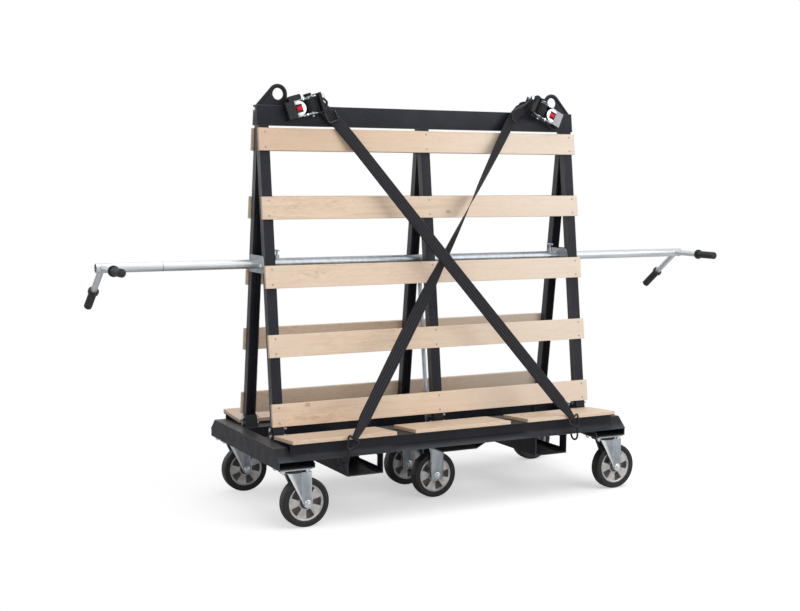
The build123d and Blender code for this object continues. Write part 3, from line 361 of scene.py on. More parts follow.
class Look(Nodes):
    """The nodes of a material with one shader."""

    def __init__(self, name, roughness=0.5, metallic=0.0):
        self.material = bpy.data.materials.new(name)
        self.material.use_nodes = True
        super().__init__(self.material.node_tree)
        self.shader = self.tree.nodes["Principled BSDF"]
        self.use(Roughness=roughness, Metallic=metallic)
        self.place = self.add("ShaderNodeTexCoord")["Object"]

    def use(self, **values):
        """The material, with its shader's inputs fed; underscores stand for spaces in their names."""
        for name, value in values.items():
            self.feed(self.shader.inputs[name.replace("_", " ")], value)
        return self.material

    def normal(self):
        """The surface's normal."""
        return self.add("ShaderNodeNewGeometry")["Normal"]

    def stretch(self, scale):
        """The surface's place with each axis scaled."""
        return self.add("ShaderNodeMapping", {"Vector": self.place, "Scale": scale})["Vector"]

    def noise(self, scale, detail=3.0, rough=0.5, twist=0.0):
        """Noise with its own scale along each axis; a plain number is the same along all."""
        feeds = {"Scale": 1.0, "Detail": detail, "Roughness": rough, "Distortion": twist}
        feeds["Vector"] = self.stretch(scale if isinstance(scale, tuple) else (scale, scale, scale))
        return self.add("ShaderNodeTexNoise", feeds)["Fac"]

    def ramp(self, factor, *stops):
        """A colour ramp through places from 0 to 1; a plain number is a grey."""
        ramped = self.add("ShaderNodeValToRGB", {"Fac": factor})["Color"]
        elements = ramped.node.color_ramp.elements
        while len(elements) < len(stops):
            elements.new(0.5)
        for element, (place, colour) in zip(elements, stops):
            element.position = place
            grey = isinstance(colour, (int, float))
            element.color = (colour, colour, colour, 1) if grey else (*colour, 1)
        return ramped

    def mix(self, factor, first, second):
        """Two colours mixed."""
        one, two = [(*colour, 1) if isinstance(colour, tuple) else colour for colour in (first, second)]
        return self.add("ShaderNodeMix", {0: factor, 6: one, 7: two}, data_type="RGBA")[2]

    def bump(self, height, depth, strength, under=None):
        """A bumped normal of a real depth, on top of another one if there is one."""
        feeds = {"Strength": strength, "Distance": depth, "Height": height}
        if under is not None:
            feeds["Normal"] = under
        return self.add("ShaderNodeBump", feeds)["Normal"]


def powder_coat(name, dark, light, gloss=0.48, shine=0.2, dust_and_reflection=0.4, low=None):
    """Satin powder coat: fine orange peel, cloudy tone, and dust with a painted reflection of the deck on
    faces that look up.
    """
    look = Look(name)
    colour = look.ramp(look.noise(5, 4), (0.3, dark), (0.7, light))
    # A lighter brown on faces that look up: dust, and a painted reflection of the wooden deck
    upward = look.grade(look.split(look.normal())["Z"], 0.85, 1.0)
    dust_and_reflection_share = look.times(upward, look.noise((9, 14, 9), 5, 0.65))
    colour = look.mix(look.times(dust_and_reflection_share, dust_and_reflection), colour, DUST_AND_REFLECTION)
    # With low, the lower part of the lip is mixed towards a lighter colour: a painted highlight
    if low:
        height = look.split(look.place)["Z"]
        colour = look.mix(look.ramp(height, (LIP_LOW, 1.0), (LIP_HIGHLIGHT_END, 0.0)), colour, low)
    scuffs = look.ramp(look.noise((70, 320, 60), 2, 0.6, 0.4), (0.66, 0.0), (0.72, 1.0))
    return look.use(
        Base_Color=look.mix(look.times(scuffs, 0.1), colour, SCUFF),
        Roughness=look.ramp(look.noise(24, 3), (0.3, gloss - 0.05), (0.75, gloss + 0.12)),
        Normal=look.bump(look.noise(620, 2), 0.00012, 0.5),
        Specular_IOR_Level=shine,
    )


def timber(name, across, knots=()):
    """Pale beech ply: soft grain, short flecks, mottled tone, layered edges and a few knots.

    With knots it is the planks' timber, which also has painted shade at the upper left and a painted sheen at
    the right.
    """
    look = Look(name)
    place = look.split(look.place)
    slow = look.noise((1.1, 7, 7), 3, 0.55)
    grain = look.noise((3.2, 95, 95), 5, 0.6, 0.9)
    fibre = look.noise((22, 640, 640), 3, 0.6)
    colour = look.ramp(grain, (0.3, BEECH_PALE), (0.52, BEECH_MIDDLE), (0.75, BEECH_DEEP))
    colour = look.mix(look.ramp(slow, (0.35, 0.15), (0.7, 0.75)), colour, BEECH_PALE)
    if knots:
        # Painted shade: the planks are deeper at the upper left, where less light falls
        aside = look.ramp(look.math("SUBTRACT", PAINTED_SHADE_LEFT, place["X"]), (0.0, 0.0), (0.7, 1.0))
        above = look.ramp(look.math("SUBTRACT", place["Z"], PAINTED_SHADE_ABOVE), (0.3, 0.0), (0.5, 0.6))
        colour = look.mix(look.times(aside, above), colour, BEECH_DEEP)
        # Painted sheen: the key light's glossy reflection is painted in as a paler, more neutral right part
        beyond = look.ramp(look.math("SUBTRACT", place["X"], SHEEN_RIGHT), (0.0, 0.0), (0.6, 0.6))
        colour = look.mix(beyond, colour, BEECH_SHEEN)
    patch = look.ramp(look.noise((3.1, 9, 9), 2), (0.4, 0.2), (0.62, 1.0))
    streaks = look.ramp(look.noise((17, 62, 62), 4, 0.6, 1.5), (0.44, 0.0), (0.7, 0.72))
    side = look.ramp(look.math("SUBTRACT", place["X"], MOTTLE_LEFT), (0.0, 1.0), (0.9, 0.3))
    colour = look.mix(look.times(look.times(streaks, patch), side), colour, BEECH_MOTTLE)
    for knot in knots:
        centre = tuple(part * scale for part, scale in zip(knot, KNOT_STRETCH))
        away = look.measure("DISTANCE", look.stretch(KNOT_STRETCH), centre)
        ring = look.ramp(away, (0.0, 0.75), (0.004, 0.4), (0.008, 0.62), (0.012, 0.0))
        colour = look.mix(ring, colour, BEECH_KNOT)
    lines = look.wave(look.measure("DOT_PRODUCT", look.place, across), PLY)
    flat = look.math("ABSOLUTE", look.measure("DOT_PRODUCT", look.normal(), across))
    edge = look.ramp(flat, (0.3, 1.0), (0.5, 0.0))
    layers = look.times(edge, look.ramp(lines, (0.35, 0.0), (0.75, 0.5)))
    colour = look.mix(layers, colour, BEECH_LAYER)
    fleck = look.ramp(look.noise((120, 900, 900), 1, 0.5), (0.67, 0.0), (0.74, 1.0))
    colour = look.mix(look.times(fleck, 0.3), colour, BEECH_FLECK)
    return look.use(
        Base_Color=look.mix(look.ramp(fibre, (0.35, 0.16), (0.65, 0.0)), colour, BEECH_DEEP),
        Roughness=look.ramp(grain, (0.3, 0.36), (0.7, 0.5)),
        Normal=look.bump(fibre, 0.00018, 0.35, look.bump(grain, 0.0003, 0.2)),
    )


def zinc_plate(name, light=(0.5, 0.54, 0.58), dark=(0.33, 0.37, 0.41), gloss=0.27, lead_highlight=None):
    """Blue-passivated zinc: soft streaks, cloudy tone and a few dull stains; lead is the colour of a painted
    highlight along a fork's leading edge.
    """
    look = Look(name, metallic=1.0)
    cloud = look.noise(26, 4, 0.6)
    streaked = look.ramp(look.noise((60, 60, 7), 4, 0.55, 0.3), (0.32, dark), (0.68, light))
    colour = look.mix(0.5, streaked, look.ramp(cloud, (0.35, dark), (0.6, light)))
    stain = look.ramp(look.noise((34, 48, 40), 5, 0.7), (0.62, 0.0), (0.78, 1.0))
    colour = look.mix(look.times(stain, 0.35), colour, STAIN)
    # A painted highlight fading back from the fork's leading edge, where a curled edge would catch the light
    if lead_highlight:
        place = look.split(look.add("ShaderNodeUVMap", uv_map="place")["UV"])
        down = look.math("SUBTRACT", FORK_TOP, place["Y"])
        edge = look.math("ADD", -FORK_LEAD, look.times(down, FORK_SLOPE))
        width = look.times(look.math("SUBTRACT", FORK_LENGTH, down), HIGHLIGHT_SHARE)
        share = look.math("DIVIDE", look.math("SUBTRACT", place["X"], edge), width)
        colour = look.mix(look.ramp(share, (0.0, 1.0), (0.45, 0.85), (1.0, 0.0)), colour, lead_highlight)
    return look.use(
        Base_Color=colour,
        Roughness=look.ramp(cloud, (0.3, gloss), (0.7, gloss + 0.18)),
        Normal=look.bump(look.noise((240, 240, 120), 3), 0.00015, 0.3),
    )


def galvanised_tube(name):
    """Drawn zinc-coated tube: bright, streaked along its length, with short dark rub marks."""
    look = Look(name, metallic=1.0)
    streak = look.noise((5, 150, 150), 4, 0.6)
    colour = look.ramp(streak, (0.3, (0.53, 0.565, 0.59)), (0.65, (0.7, 0.73, 0.75)))
    rub = look.ramp(look.noise((55, 30, 22), 3, 0.7, 1.2), (0.68, 0.0), (0.73, 1.0))
    colour = look.mix(look.times(rub, 0.7), colour, RUB)
    aside = look.math("ABSOLUTE", look.math("ADD", look.split(look.place)["X"], TUBE_MARK))
    mark = look.ramp(aside, (0.0006, 0.8), (0.0022, 0.0))
    mark = look.times(mark, look.ramp(streak, (0.4, 0.4), (0.6, 1.0)))
    return look.use(
        Base_Color=look.mix(mark, colour, MARK),
        Roughness=look.ramp(look.noise((18, 60, 60), 4), (0.3, 0.34), (0.7, 0.48)),
        Normal=look.bump(streak, 0.0001, 0.3),
    )


def cast_metal(name, dark, light, metallic):
    """Cast aluminium: a fine sandy skin with a cloudy tone."""
    look = Look(name, metallic=metallic)
    cloud = look.noise(45, 4)
    return look.use(
        Base_Color=look.ramp(cloud, (0.3, dark), (0.7, light)),
        Roughness=look.ramp(cloud, (0.3, 0.36), (0.7, 0.52)),
        Normal=look.bump(look.noise(420, 3, 0.6), 0.0003, 0.45),
    )


def rubber(name, dark, light, rough, grain=520):
    """Solid rubber: matt, slightly greyed by dust, with a fine skin."""
    look = Look(name)
    cloud = look.noise(28, 5, 0.6)
    return look.use(
        Base_Color=look.ramp(cloud, (0.32, dark), (0.72, light)),
        Roughness=look.ramp(cloud, (0.3, rough), (0.7, rough + 0.16)),
        Normal=look.bump(look.noise(grain, 3), 0.0002, 0.35),
        Specular_IOR_Level=0.4,
    )


def woven(name, stripes=0.62):
    """Black webbing: ribs across, yarn lines along, from the strip's own length and width."""
    look = Look(name, roughness=0.78)
    across, along, _ = look.split(look.add("ShaderNodeUVMap", uv_map="strip")["UV"])
    slanted = look.math("ADD", look.times(across, 2 * pi / YARN), look.times(along, YARN_SLANT))
    weave = look.times(look.wave(along, RIB), look.math("SINE", slanted))
    height = look.math("ADD", look.times(weave, 0.5), 0.5)
    colour = look.ramp(height, (0.2, YARN_DARK), (0.8, YARN_LIGHT))
    wear = look.ramp(look.noise(60, 4, 0.6), (0.4, 0.0), (0.75, 0.35))
    colour = look.mix(wear, colour, YARN_WORN)
    out = look.math("ABSOLUTE", look.math("DIVIDE", across, WEB_W / 2))
    selvedge = look.ramp(out, (0.86, 0.0), (0.9, 1.0))
    colour = look.mix(look.times(selvedge, 0.4), colour, YARN_EDGE)
    lines = look.ramp(look.wave(across, STRIPE), (0.0, 0.0), (0.9, stripes))
    return look.use(
        Base_Color=look.mix(lines, colour, YARN_STRIPE),
        Normal=look.bump(height, 0.00035, 0.6),
        Sheen_Weight=0.09,
        Sheen_Roughness=0.3,
        Specular_IOR_Level=0.22,
    )


def moulded(name, dark, light, gloss, shine=0.5):
    """Moulded plastic with a fine grain."""
    look = Look(name)
    cloud = look.noise(40, 3)
    return look.use(
        Base_Color=look.ramp(cloud, (0.3, dark), (0.7, light)),
        Roughness=look.ramp(cloud, (0.3, gloss), (0.7, gloss + 0.1)),
        Normal=look.bump(look.noise(900, 2), 0.00012, 0.3),
        Specular_IOR_Level=shine,
    )


# Painted steel: dark and light tone, gloss, shine, dust and painted reflection
PAINT = powder_coat("anthracite_coat", (0.0122, 0.013, 0.0188), (0.0195, 0.0206, 0.0288), 0.4)
# The edge coat is a lighter copy of the paint on rounded edges: painted highlights
PAINT_EDGE_HIGHLIGHT = powder_coat("coat_edge_highlight", (0.06, 0.062, 0.07), (0.1, 0.102, 0.112), dust_and_reflection=0.1)
# The lip's coat is a darker copy of the frame paint, a painted shade, with a painted highlight on its lower
# part
LIP = powder_coat(
    "lip_coat", (0.011, 0.0115, 0.015), (0.0175, 0.018, 0.023), dust_and_reflection=0.1, low=(0.075, 0.078, 0.09)
)
LEDGE = powder_coat("ledge_coat", (0.009, 0.0093, 0.012), (0.015, 0.0154, 0.019), dust_and_reflection=0.1)
# The legs' flat sides take a lighter copy of the paint: painted light from the side
LEG_SIDE_LIT = powder_coat("lit_leg_side", (0.026, 0.027, 0.032), (0.038, 0.039, 0.045), 0.34, 0.5, 0.1)
# The legs' edge coat is lighter and glossier: a painted highlight along their bends
LEG_EDGE_HIGHLIGHT = powder_coat("leg_edge_highlight", (0.1, 0.104, 0.116), (0.15, 0.155, 0.168), 0.3, 0.5, 0.1)
EYE = powder_coat("eye_coat", (0.0122, 0.013, 0.0175), (0.0195, 0.0206, 0.0268), 0.2, 0.5, 0.1)
LEVER = powder_coat("black_coat", (0.015, 0.0148, 0.0158), (0.026, 0.0255, 0.027), 0.4, dust_and_reflection=0.1)
WIRE = powder_coat("wire_coat", (0.006, 0.006, 0.0072), (0.011, 0.011, 0.013), 0.2, 0.4, 0.05)

# Timber, with the direction across its layers
WOOD = timber("beech_deck", (0, 0, 1))
PLANK = timber("beech_planks", (0, 1, 0), KNOTS)

# Bare metal
ZINC = zinc_plate("zinc")
BRIGHT = zinc_plate("bright_zinc", (0.82, 0.85, 0.87), (0.62, 0.66, 0.7), 0.2)
# The forks' zinc, with a painted highlight along their leading edges
FORK = zinc_plate("fork_zinc", (0.44, 0.48, 0.52), (0.3, 0.335, 0.37), 0.27, (0.94, 0.95, 0.96))
SCREW = zinc_plate("screw_zinc", (0.42, 0.48, 0.54), (0.27, 0.32, 0.37), 0.3)
TUBE = galvanised_tube("galvanised")
CAST = cast_metal("cast_aluminium", (0.42, 0.41, 0.4), (0.62, 0.61, 0.6), 0.85)
# The dark floors of the rims' pockets: painted shade
CAST_POCKET_SHADE = cast_metal("cast_pocket_shade", (0.05, 0.046, 0.043), (0.1, 0.094, 0.088), 0.25)

# Rubber, webbing and plastic
TYRE = rubber("tyre_rubber", (0.0078, 0.0078, 0.0086), (0.0155, 0.0155, 0.0165), 0.4)
GRIP = rubber("grip_rubber", (0.012, 0.012, 0.013), (0.022, 0.022, 0.023), 0.48, 700)
WEB = woven("webbing")
WOUND = woven("wound_webbing", 0.25)
COVER = moulded("cover_plastic", (0.008, 0.008, 0.0092), (0.015, 0.015, 0.017), 0.42, 0.3)
# A lighter copy of the cover plastic on rounded edges: painted highlights
COVER_EDGE_HIGHLIGHT = moulded("cover_edge_highlight", (0.05, 0.05, 0.053), (0.09, 0.09, 0.094), 0.34)
PLATE = moulded("bare_plate", (0.34, 0.35, 0.38), (0.41, 0.42, 0.45), 0.34)
BUTTON = moulded("red_plastic", (0.68, 0.002, 0.006), (0.8, 0.004, 0.01), 0.4, 0.2)

SLOT_LOOK = {
    "frame_paint": PAINT,
    "wood": WOOD,
    "zinc": ZINC,
    "rim_metal": CAST,
    "tyre_rubber": TYRE,
    "grip_rubber": GRIP,
    "webbing": WEB,
    "black_wire": WIRE,
    "cover_plastic": COVER,
    "button_red": BUTTON,
}
slot_of = {row["node"]: row["material_slot"] for row in frame["record"]["subparts"]}
node_look = {node: SLOT_LOOK[slot] for node, slot in slot_of.items()}
node_look.update(
    load_planks=PLANK, side_beam_front=LIP, side_beam_rear=LIP,
    deck_ledges=LEDGE, foot_bolts=BRIGHT, fixed_axles=BRIGHT,
)
for side in SIDES:
    node_look[f"ratchet_lever_{side}"] = LEVER
    node_look[f"handle_tube_{side}"] = TUBE
    node_look[f"lifting_eye_{side}"] = EYE
for corner in CORNERS:
    node_look[f"axle_{corner}"] = BRIGHT
    node_look[f"fork_{corner}"] = FORK
for node, thing in frame["nodes"].items():
    thing.data.materials.clear()
    thing.data.materials.append(node_look[node])


# Mesh helpers
def finish_piece(name, bm, look, body, slot, smooth=None):
    """A mesh made into a piece that rides on a body; edges above the smooth angle stay sharp."""
    mesh = bpy.data.meshes.new(name)
    bm.to_mesh(mesh)
    bm.free()
    if smooth is not None:
        mesh.polygons.foreach_set("use_smooth", [True] * len(mesh.polygons))
        mesh.set_sharp_from_angle(angle=radians(smooth))
    for one in look if isinstance(look, tuple) else (look,):
        mesh.materials.append(one)
    piece = bpy.data.objects.new(name, mesh)
    scene.collection.objects.link(piece)
    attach(piece, body)
    return piece


def stand_in(node, ending, bm, look, smooth):
    """A finished copy of a node, which stands for it."""
    body = frame["nodes"][node]["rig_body"]
    piece = finish_piece(f"{node}_{ending}", bm, look, body, slot_of[node], smooth)
    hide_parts(node)


def solids_of(node):
    """A node's solids as a mesh to work on, with doubled points merged."""
    bm = bmesh.new()
    bm.from_mesh(frame["nodes"][node].data)
    bmesh.ops.remove_doubles(bm, verts=bm.verts[:], dist=MERGE)
    return bm


def islands(bm):
    """The vertices of each separate solid, in the mesh's order."""
    seen = set()
    for first in bm.verts:
        if first in seen:
            continue
        seen.add(first)
        found = [first]
        for vert in found:
            for edge in vert.link_edges:
                other = edge.other_vert(vert)
                if other not in seen:
                    seen.add(other)
                    found.append(other)
        yield found


def rounded(bm, verts, low, high, width, segments):
    """Rounds one solid's edges between two angles, and returns the new faces."""
    edges = {edge for vert in verts if vert.is_valid for edge in vert.link_edges}
    sharp = [edge for edge in edges if edge.is_manifold and low < edge.calc_face_angle() < high]
    if low < CORNER:
        sharp = [edge for edge in sharp if edge.calc_length() > LONG_EDGE]
    made = bmesh.ops.bevel(
        bm, geom=sharp, offset=width, offset_type="OFFSET", segments=segments,
        profile=0.5, affect="EDGES", clamp_overlap=True,
    )
    return made["faces"]


def softened(node, width, segments=2, edge_look=None, choose=None, smooth=None, crease=0.0, origin=None):
    """A copy of a solid with its corners rounded, which stands for it.

    Rounded corners take the edge look, and a face takes the look that choose gives for its middle and its
    normal. With a crease width, slight bends are rounded by it, and with an origin each face carries its
    place from there, along X and Z.
    """
    bm = solids_of(node)
    bmesh.ops.dissolve_limit(bm, angle_limit=FLAT, verts=bm.verts[:], edges=bm.edges[:])
    looks = [node_look[node]]
    if edge_look:
        looks.append(edge_look)
    rounds = [(BEND, CORNER, crease, 2)] if crease else []
    rounds.append((CORNER, pi, width, segments))
    for low, high, reach, steps in rounds:
        for verts in list(islands(bm)):
            for face in rounded(bm, verts, low, high, reach, steps):
                face.material_index = len(looks) - 1
    bmesh.ops.triangulate(bm, faces=[face for face in bm.faces if len(face.verts) > 4])
    for face in bm.faces if choose else ():
        look = choose(face.calc_center_median(), face.normal)
        if look and look not in looks:
            looks.append(look)
        if look:
            face.material_index = looks.index(look)
    if origin is not None:
        uv = bm.loops.layers.uv.new("place")
        for face in bm.faces:
            for loop in face.loops:
                loop[uv].uv = (loop.vert.co.x - origin.x, loop.vert.co.z)
    stand_in(node, "rounded", bm, tuple(looks), smooth)


def thickened(node, by):
    """A stouter copy of a wire solid, which stands for it."""
    bm = solids_of(node)
    bm.normal_update()
    for vert in bm.verts:
        vert.co += vert.normal * by
    stand_in(node, "wire", bm, node_look[node], smooth=40)


def outward(bm):
    """Turns all faces out."""
    bmesh.ops.recalc_face_normals(bm, faces=bm.faces[:])


def ring_of(bm, place, points):
    """New vertices at points of a place's own frame."""
    return [bm.verts.new(place @ Vector(point)) for point in points]


def skin(bm, rings):
    """New quads between neighbouring rings."""
    faces = []
    for one, two in zip(rings, rings[1:]):
        count = len(one)
        for number in range(count):
            after = (number + 1) % count
            faces.append(bm.faces.new((one[number], one[after], two[after], two[number])))
    return faces


def closed_shell(bm, rings):
    """Rings skinned and closed at both ends, with the faces turned out."""
    skin(bm, rings)
    bm.faces.new(rings[0])
    bm.faces.new(rings[-1])
    outward(bm)


def mark_strip(bm, faces, marks):
    """Gives the faces of webbing their place across and along it, from each vertex's mark."""
    uv = bm.loops.layers.uv.get("strip") or bm.loops.layers.uv.new("strip")
    for face in faces:
        for loop in face.loops:
            loop[uv].uv = marks[loop.vert]


def frame_at(origin, axis):
    """A matrix whose Z runs along an axis."""
    turn = Vector((0, 0, 1)).rotation_difference(Vector(axis).normalized())
    return Matrix.Translation(origin) @ turn.to_matrix().to_4x4()


def lathe(bm, profile, place, sides):
    """A turned form from (radius, height) points about the place's Z axis."""
    angles = [2 * pi * number / sides for number in range(sides)]
    rings = []
    for radius, height in profile:
        points = [(radius * cos(angle), radius * sin(angle), height) for angle in angles]
        rings.append(ring_of(bm, place, points))
    skin(bm, rings)
    return rings


def capped_lathe(bm, profile, place, sides):
    """A turned form closed at both ends."""
    rings = lathe(bm, profile, place, sides)
    bm.faces.new(list(reversed(rings[0])))
    bm.faces.new(rings[-1])


def turned_ring(bm, profile, place, sides):
    """A closed ring turned from (radius, height) points in millimetres."""
    rings = lathe(bm, [(radius / 1000, height / 1000) for radius, height in profile], place, sides)
    skin(bm, [rings[-1], rings[0]])


def joint_named(name):
    """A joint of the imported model."""
    return next(joint for joint in frame["joints"] if joint["name"] == name)


def joint_place(name):
    """Where a joint is."""
    return Vector(joint_named(name)["pos_m"])


# Rounded copies of the flat-sided solids
def lit_leg_side(point, normal):
    """A shinier, lighter coat on the legs' flat sides; the lighter colour is painted light falling from the
    side.
    """
    return LEG_SIDE_LIT if abs(normal.x) > LEG_FACING else None


for node in ("load_planks", "deck_boards_front", "deck_boards_rear"):
    softened(node, WOOD_ROUND, 3)
for node in (
    "top_beam", "end_members", "fork_pockets", "inner_rails", "centre_cross_member",
    "deck_ledges", "leg_shoes", "side_beam_front", "side_beam_rear",
):
    softened(node, SHEET_ROUND, edge_look=PAINT_EDGE_HIGHLIGHT)
for node in ("a_frame_left", "a_frame_middle", "a_frame_right"):
    softened(node, LEG_ROUND, 3, edge_look=LEG_EDGE_HIGHLIGHT, choose=lit_leg_side)


# Casters
def tyre_piece(wheel):
    """A smooth solid tyre with ring lines on its sides."""
    profile = [(radius, -height) for radius, height in TYRE_PROFILE] + TYRE_PROFILE[::-1]
    bm = bmesh.new()
    turned_ring(bm, profile, frame_at(joint_place(f"roll_{wheel}"), (0, 1, 0)), sides=96)
    outward(bm)
    piece = finish_piece(f"tyre_ringed_{wheel}", bm, TYRE, f"wheel_{wheel}", "tyre_rubber", smooth=40)
    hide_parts(f"tyre_{wheel}")


def rim_piece(wheel):
    """A rounded wheel centre whose pockets have dark floors: painted shade in the recesses."""
    centre = joint_place(f"roll_{wheel}")

    def pocket_shade(point, normal):
        away = point - centre
        inside = Vector((away.x, away.z)).length < RECESS_R and abs(away.y) < RECESS_LEVEL
        return CAST_POCKET_SHADE if inside and abs(normal.y) > RECESS_FACING else None

    softened(f"rim_{wheel}", RIM_ROUND, choose=pocket_shade, smooth=30)


def axle_ends(wheel, body):
    """Washers under the axle's head and nut, and the bolt's rounded ends."""
    centre = joint_place(f"roll_{wheel}")
    bm = bmesh.new()
    for sign in (-1, 1):
        axis = Vector((0, sign, 0))
        turned_ring(bm, WASHER_PROFILE, frame_at(centre + axis * AXLE_SEAT, axis), sides=28)
        capped_lathe(bm, AXLE_TIP, frame_at(centre + axis * AXLE_END, axis), sides=18)
    outward(bm)
    finish_piece(f"axle_ends_{wheel}", bm, BRIGHT, body, "zinc", smooth=40)


def shade_ring_piece(corner, axis):
    """A black ring round a swivel head: painted shade for the shaded gap under its plate."""
    bm = bmesh.new()
    turned_ring(bm, SHADE_RING_PROFILE, Matrix.Translation((axis.x, axis.y, 0)), sides=48)
    outward(bm)
    finish_piece(f"head_shade_ring_{corner}", bm, GRIP, f"caster_{corner}", "grip_rubber", smooth=40)


for wheel in WHEELS:
    tyre_piece(wheel)
    rim_piece(wheel)
    axle_ends(wheel, f"caster_{wheel}" if wheel in CORNERS else TROLLEY)
# The forks' and swivel plates' rounded edges, and the forks' creases, take bright zinc: painted highlights
for corner in CORNERS:
    axis = joint_place(f"swivel_{corner}")
    shade_ring_piece(corner, axis)
    softened(f"fork_{corner}", PLATE_ROUND, edge_look=BRIGHT, smooth=30, crease=FORK_CREASE, origin=axis)
softened("fixed_forks", PLATE_ROUND, edge_look=BRIGHT, smooth=30, crease=FORK_CREASE)
softened("swivel_plates", THIN_ROUND, edge_look=BRIGHT)
softened("handle_brackets", PLATE_ROUND)


# Fasteners
def hex_head(bm, place, across, height, washer, stud=0.0):
    """A six-sided head with a chamfered top, on a washer, with the end of a stud in it."""
    disc = [(washer, 0.0), (washer, WASHER_WALL), (washer - WASHER_BEVEL, WASHER_T)]
    capped_lathe(bm, disc, place, sides=24)
    radius = across / 2 / cos(pi / 6)
    top = WASHER_T + height
    profile = [(radius, WASHER_T), (radius, top - HEX_BEVEL * height), (radius * HEX_TOP, top)]
    capped_lathe(bm, profile, place, sides=6)
    if stud:
        core = across * STUD_SHARE
        end = top + stud
        capped_lathe(bm, [(core, top), (core, end - STUD_BEVEL), (core - STUD_BEVEL, end)], place, sides=16)


def on_front(x, along, out):
    """A place on the rack's front slope: along it from the base top, and out of it."""
    return Vector((x, -FOOT_Y, BASE_TOP)) + front_up * along + front_normal * out


def flipped(point):
    """The same place on the rear side."""
    return Vector((point.x, -point.y, point.z))


def plank_screws():
    """Two screws through each plank at each leg, on both sides, with their points behind the leg."""
    bm = bmesh.new()
    tip = [(radius, height - PLANK_T - LEG_T) for radius, height in SCREW_TIP]
    for number in range(PLANKS):
        start = PLANK_START + number * PLANK_PITCH
        for x in (-LEG_X, 0.0, LEG_X):
            for along in (start + SCREW_IN, start + PLANK_H - SCREW_IN):
                point = on_front(x, along, PLANK_T)
                for place in (frame_at(point, front_normal), frame_at(flipped(point), flipped(front_normal))):
                    capped_lathe(bm, SCREW_HEAD, place, sides=18)
                    capped_lathe(bm, tip, place, sides=10)
    finish_piece("plank_screws", bm, SCREW, TROLLEY, "zinc", smooth=35)


def caster_bolts():
    """Nuts and bolt ends under the corners of the caster plates."""
    bm = bmesh.new()
    places = [joint_place(f"swivel_{corner}") for corner in CORNERS]
    places += [Vector((0, y, PLATE_Z)) for y in (-FIXED_Y, FIXED_Y)]
    for place in places:
        for x in (-PLATE_BOLT_X, PLATE_BOLT_X):
            for y in (-PLATE_BOLT_Y, PLATE_BOLT_Y):
                point = Vector((place.x + x, place.y + y, PLATE_Z))
                hex_head(bm, frame_at(point, (0, 0, -1)), *CASTER_NUT)
    finish_piece("caster_nuts", bm, BRIGHT, TROLLEY, "zinc", smooth=35)


def end_bolts():
    """One bolt in each end of the top beam, and two on each handle bracket's outer face."""
    bm = bmesh.new()
    for sign in (-1, 1):
        hex_head(bm, frame_at((sign * BEAM_END, 0, BEAM_BOLT_Z), (sign, 0, 0)), *FRAME_BOLT)
        for y in (-BRACKET_BOLT_Y, BRACKET_BOLT_Y):
            hex_head(bm, frame_at((sign * BRACKET_OUT, y, BRACKET_BOLT_Z), (sign, 0, 0)), *FRAME_BOLT)
    finish_piece("frame_bolts", bm, BRIGHT, TROLLEY, "zinc", smooth=35)


def foot_studs():
    """The threaded ends of the foot bolts beyond their nuts."""
    profile = [STUD_START]
    for number in range(THREADS):
        profile += [(radius, THREAD_PITCH * number + height) for radius, height in STUD_THREAD]
    profile.append(STUD_END)
    solids = solids_of("foot_bolts")
    bm = bmesh.new()
    for verts in islands(solids):
        end = max(vert.co.x for vert in verts)
        middle = sum((vert.co for vert in verts), Vector()) / len(verts)
        capped_lathe(bm, profile, frame_at((end, middle.y, middle.z), (1, 0, 0)), sides=14)
    solids.free()
    finish_piece("foot_studs", bm, BRIGHT, TROLLEY, "zinc", smooth=25)


plank_screws()
caster_bolts()
end_bolts()
foot_studs()


# Ratchet units
def unit_matrix(side):
    """From a unit's own frame to the trolley's."""
    reel = joint_named(f"turn_reel_{side}")
    w = -Vector(joint_named(f"press_button_{side}")["axis"])
    v = Vector(reel["axis"])
    u = v.cross(w)
    if side == "right":
        v = -v
    origin = Vector(reel["pos_m"]) - w * SPOOL_H
    return Matrix.Translation(origin) @ Matrix((u, v, w)).transposed().to_4x4()


def toothed_wheels(side, shaft):
    """The spool's shaft with its two toothed wheels."""
    bm = bmesh.new()
    capped_lathe(bm, SHAFT, shaft, sides=24)
    for sign in (-1, 1):
        rings = []
        for height in TOOTHED_SPAN:
            points = []
            for tooth in range(TEETH):
                angle = 2 * pi * tooth / TEETH
                for radius in (TOOTH_R, TOOTH_ROOT):
                    points.append((radius * cos(angle), radius * sin(angle), sign * height))
            rings.append(ring_of(bm, shaft, points))
        closed_shell(bm, rings)
    piece = finish_piece(f"reel_wheels_{side}", bm, ZINC, f"reel_{side}", "zinc", smooth=35)
    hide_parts(f"spool_{side}")


def wound_webbing(side, shaft):
    """The webbing on the spool, wound in rippled layers."""
    bm = bmesh.new()
    half = WEB_W / 2
    growth = (ROLL_R / (1 + ROLL_RIPPLE) - ROLL_CORE - WEB_T) / ROLL_TURNS
    rings = []
    marks = {}
    length = 0.0
    for number in range(ROLL_STEPS + 1):
        angle = 2 * pi * ROLL_TURNS * number / ROLL_STEPS
        inner = (ROLL_CORE + growth * angle / (2 * pi)) * (1 + ROLL_RIPPLE * sin(ROLL_FOLDS * angle))
        points = []
        for radius, across in ((inner, -half), (inner, half), (inner + WEB_T, half), (inner + WEB_T, -half)):
            points.append((radius * cos(angle), radius * sin(angle), across))
        ring = ring_of(bm, shaft, points)
        for vert, point in zip(ring, points):
            marks[vert] = (point[2], length)
        if rings:
            length += (ring[0].co - rings[-1][0].co).length
        rings.append(ring)
    closed_shell(bm, rings)
    mark_strip(bm, bm.faces, marks)
    finish_piece(f"reel_webbing_{side}", bm, WOUND, f"reel_{side}", "webbing", smooth=50)


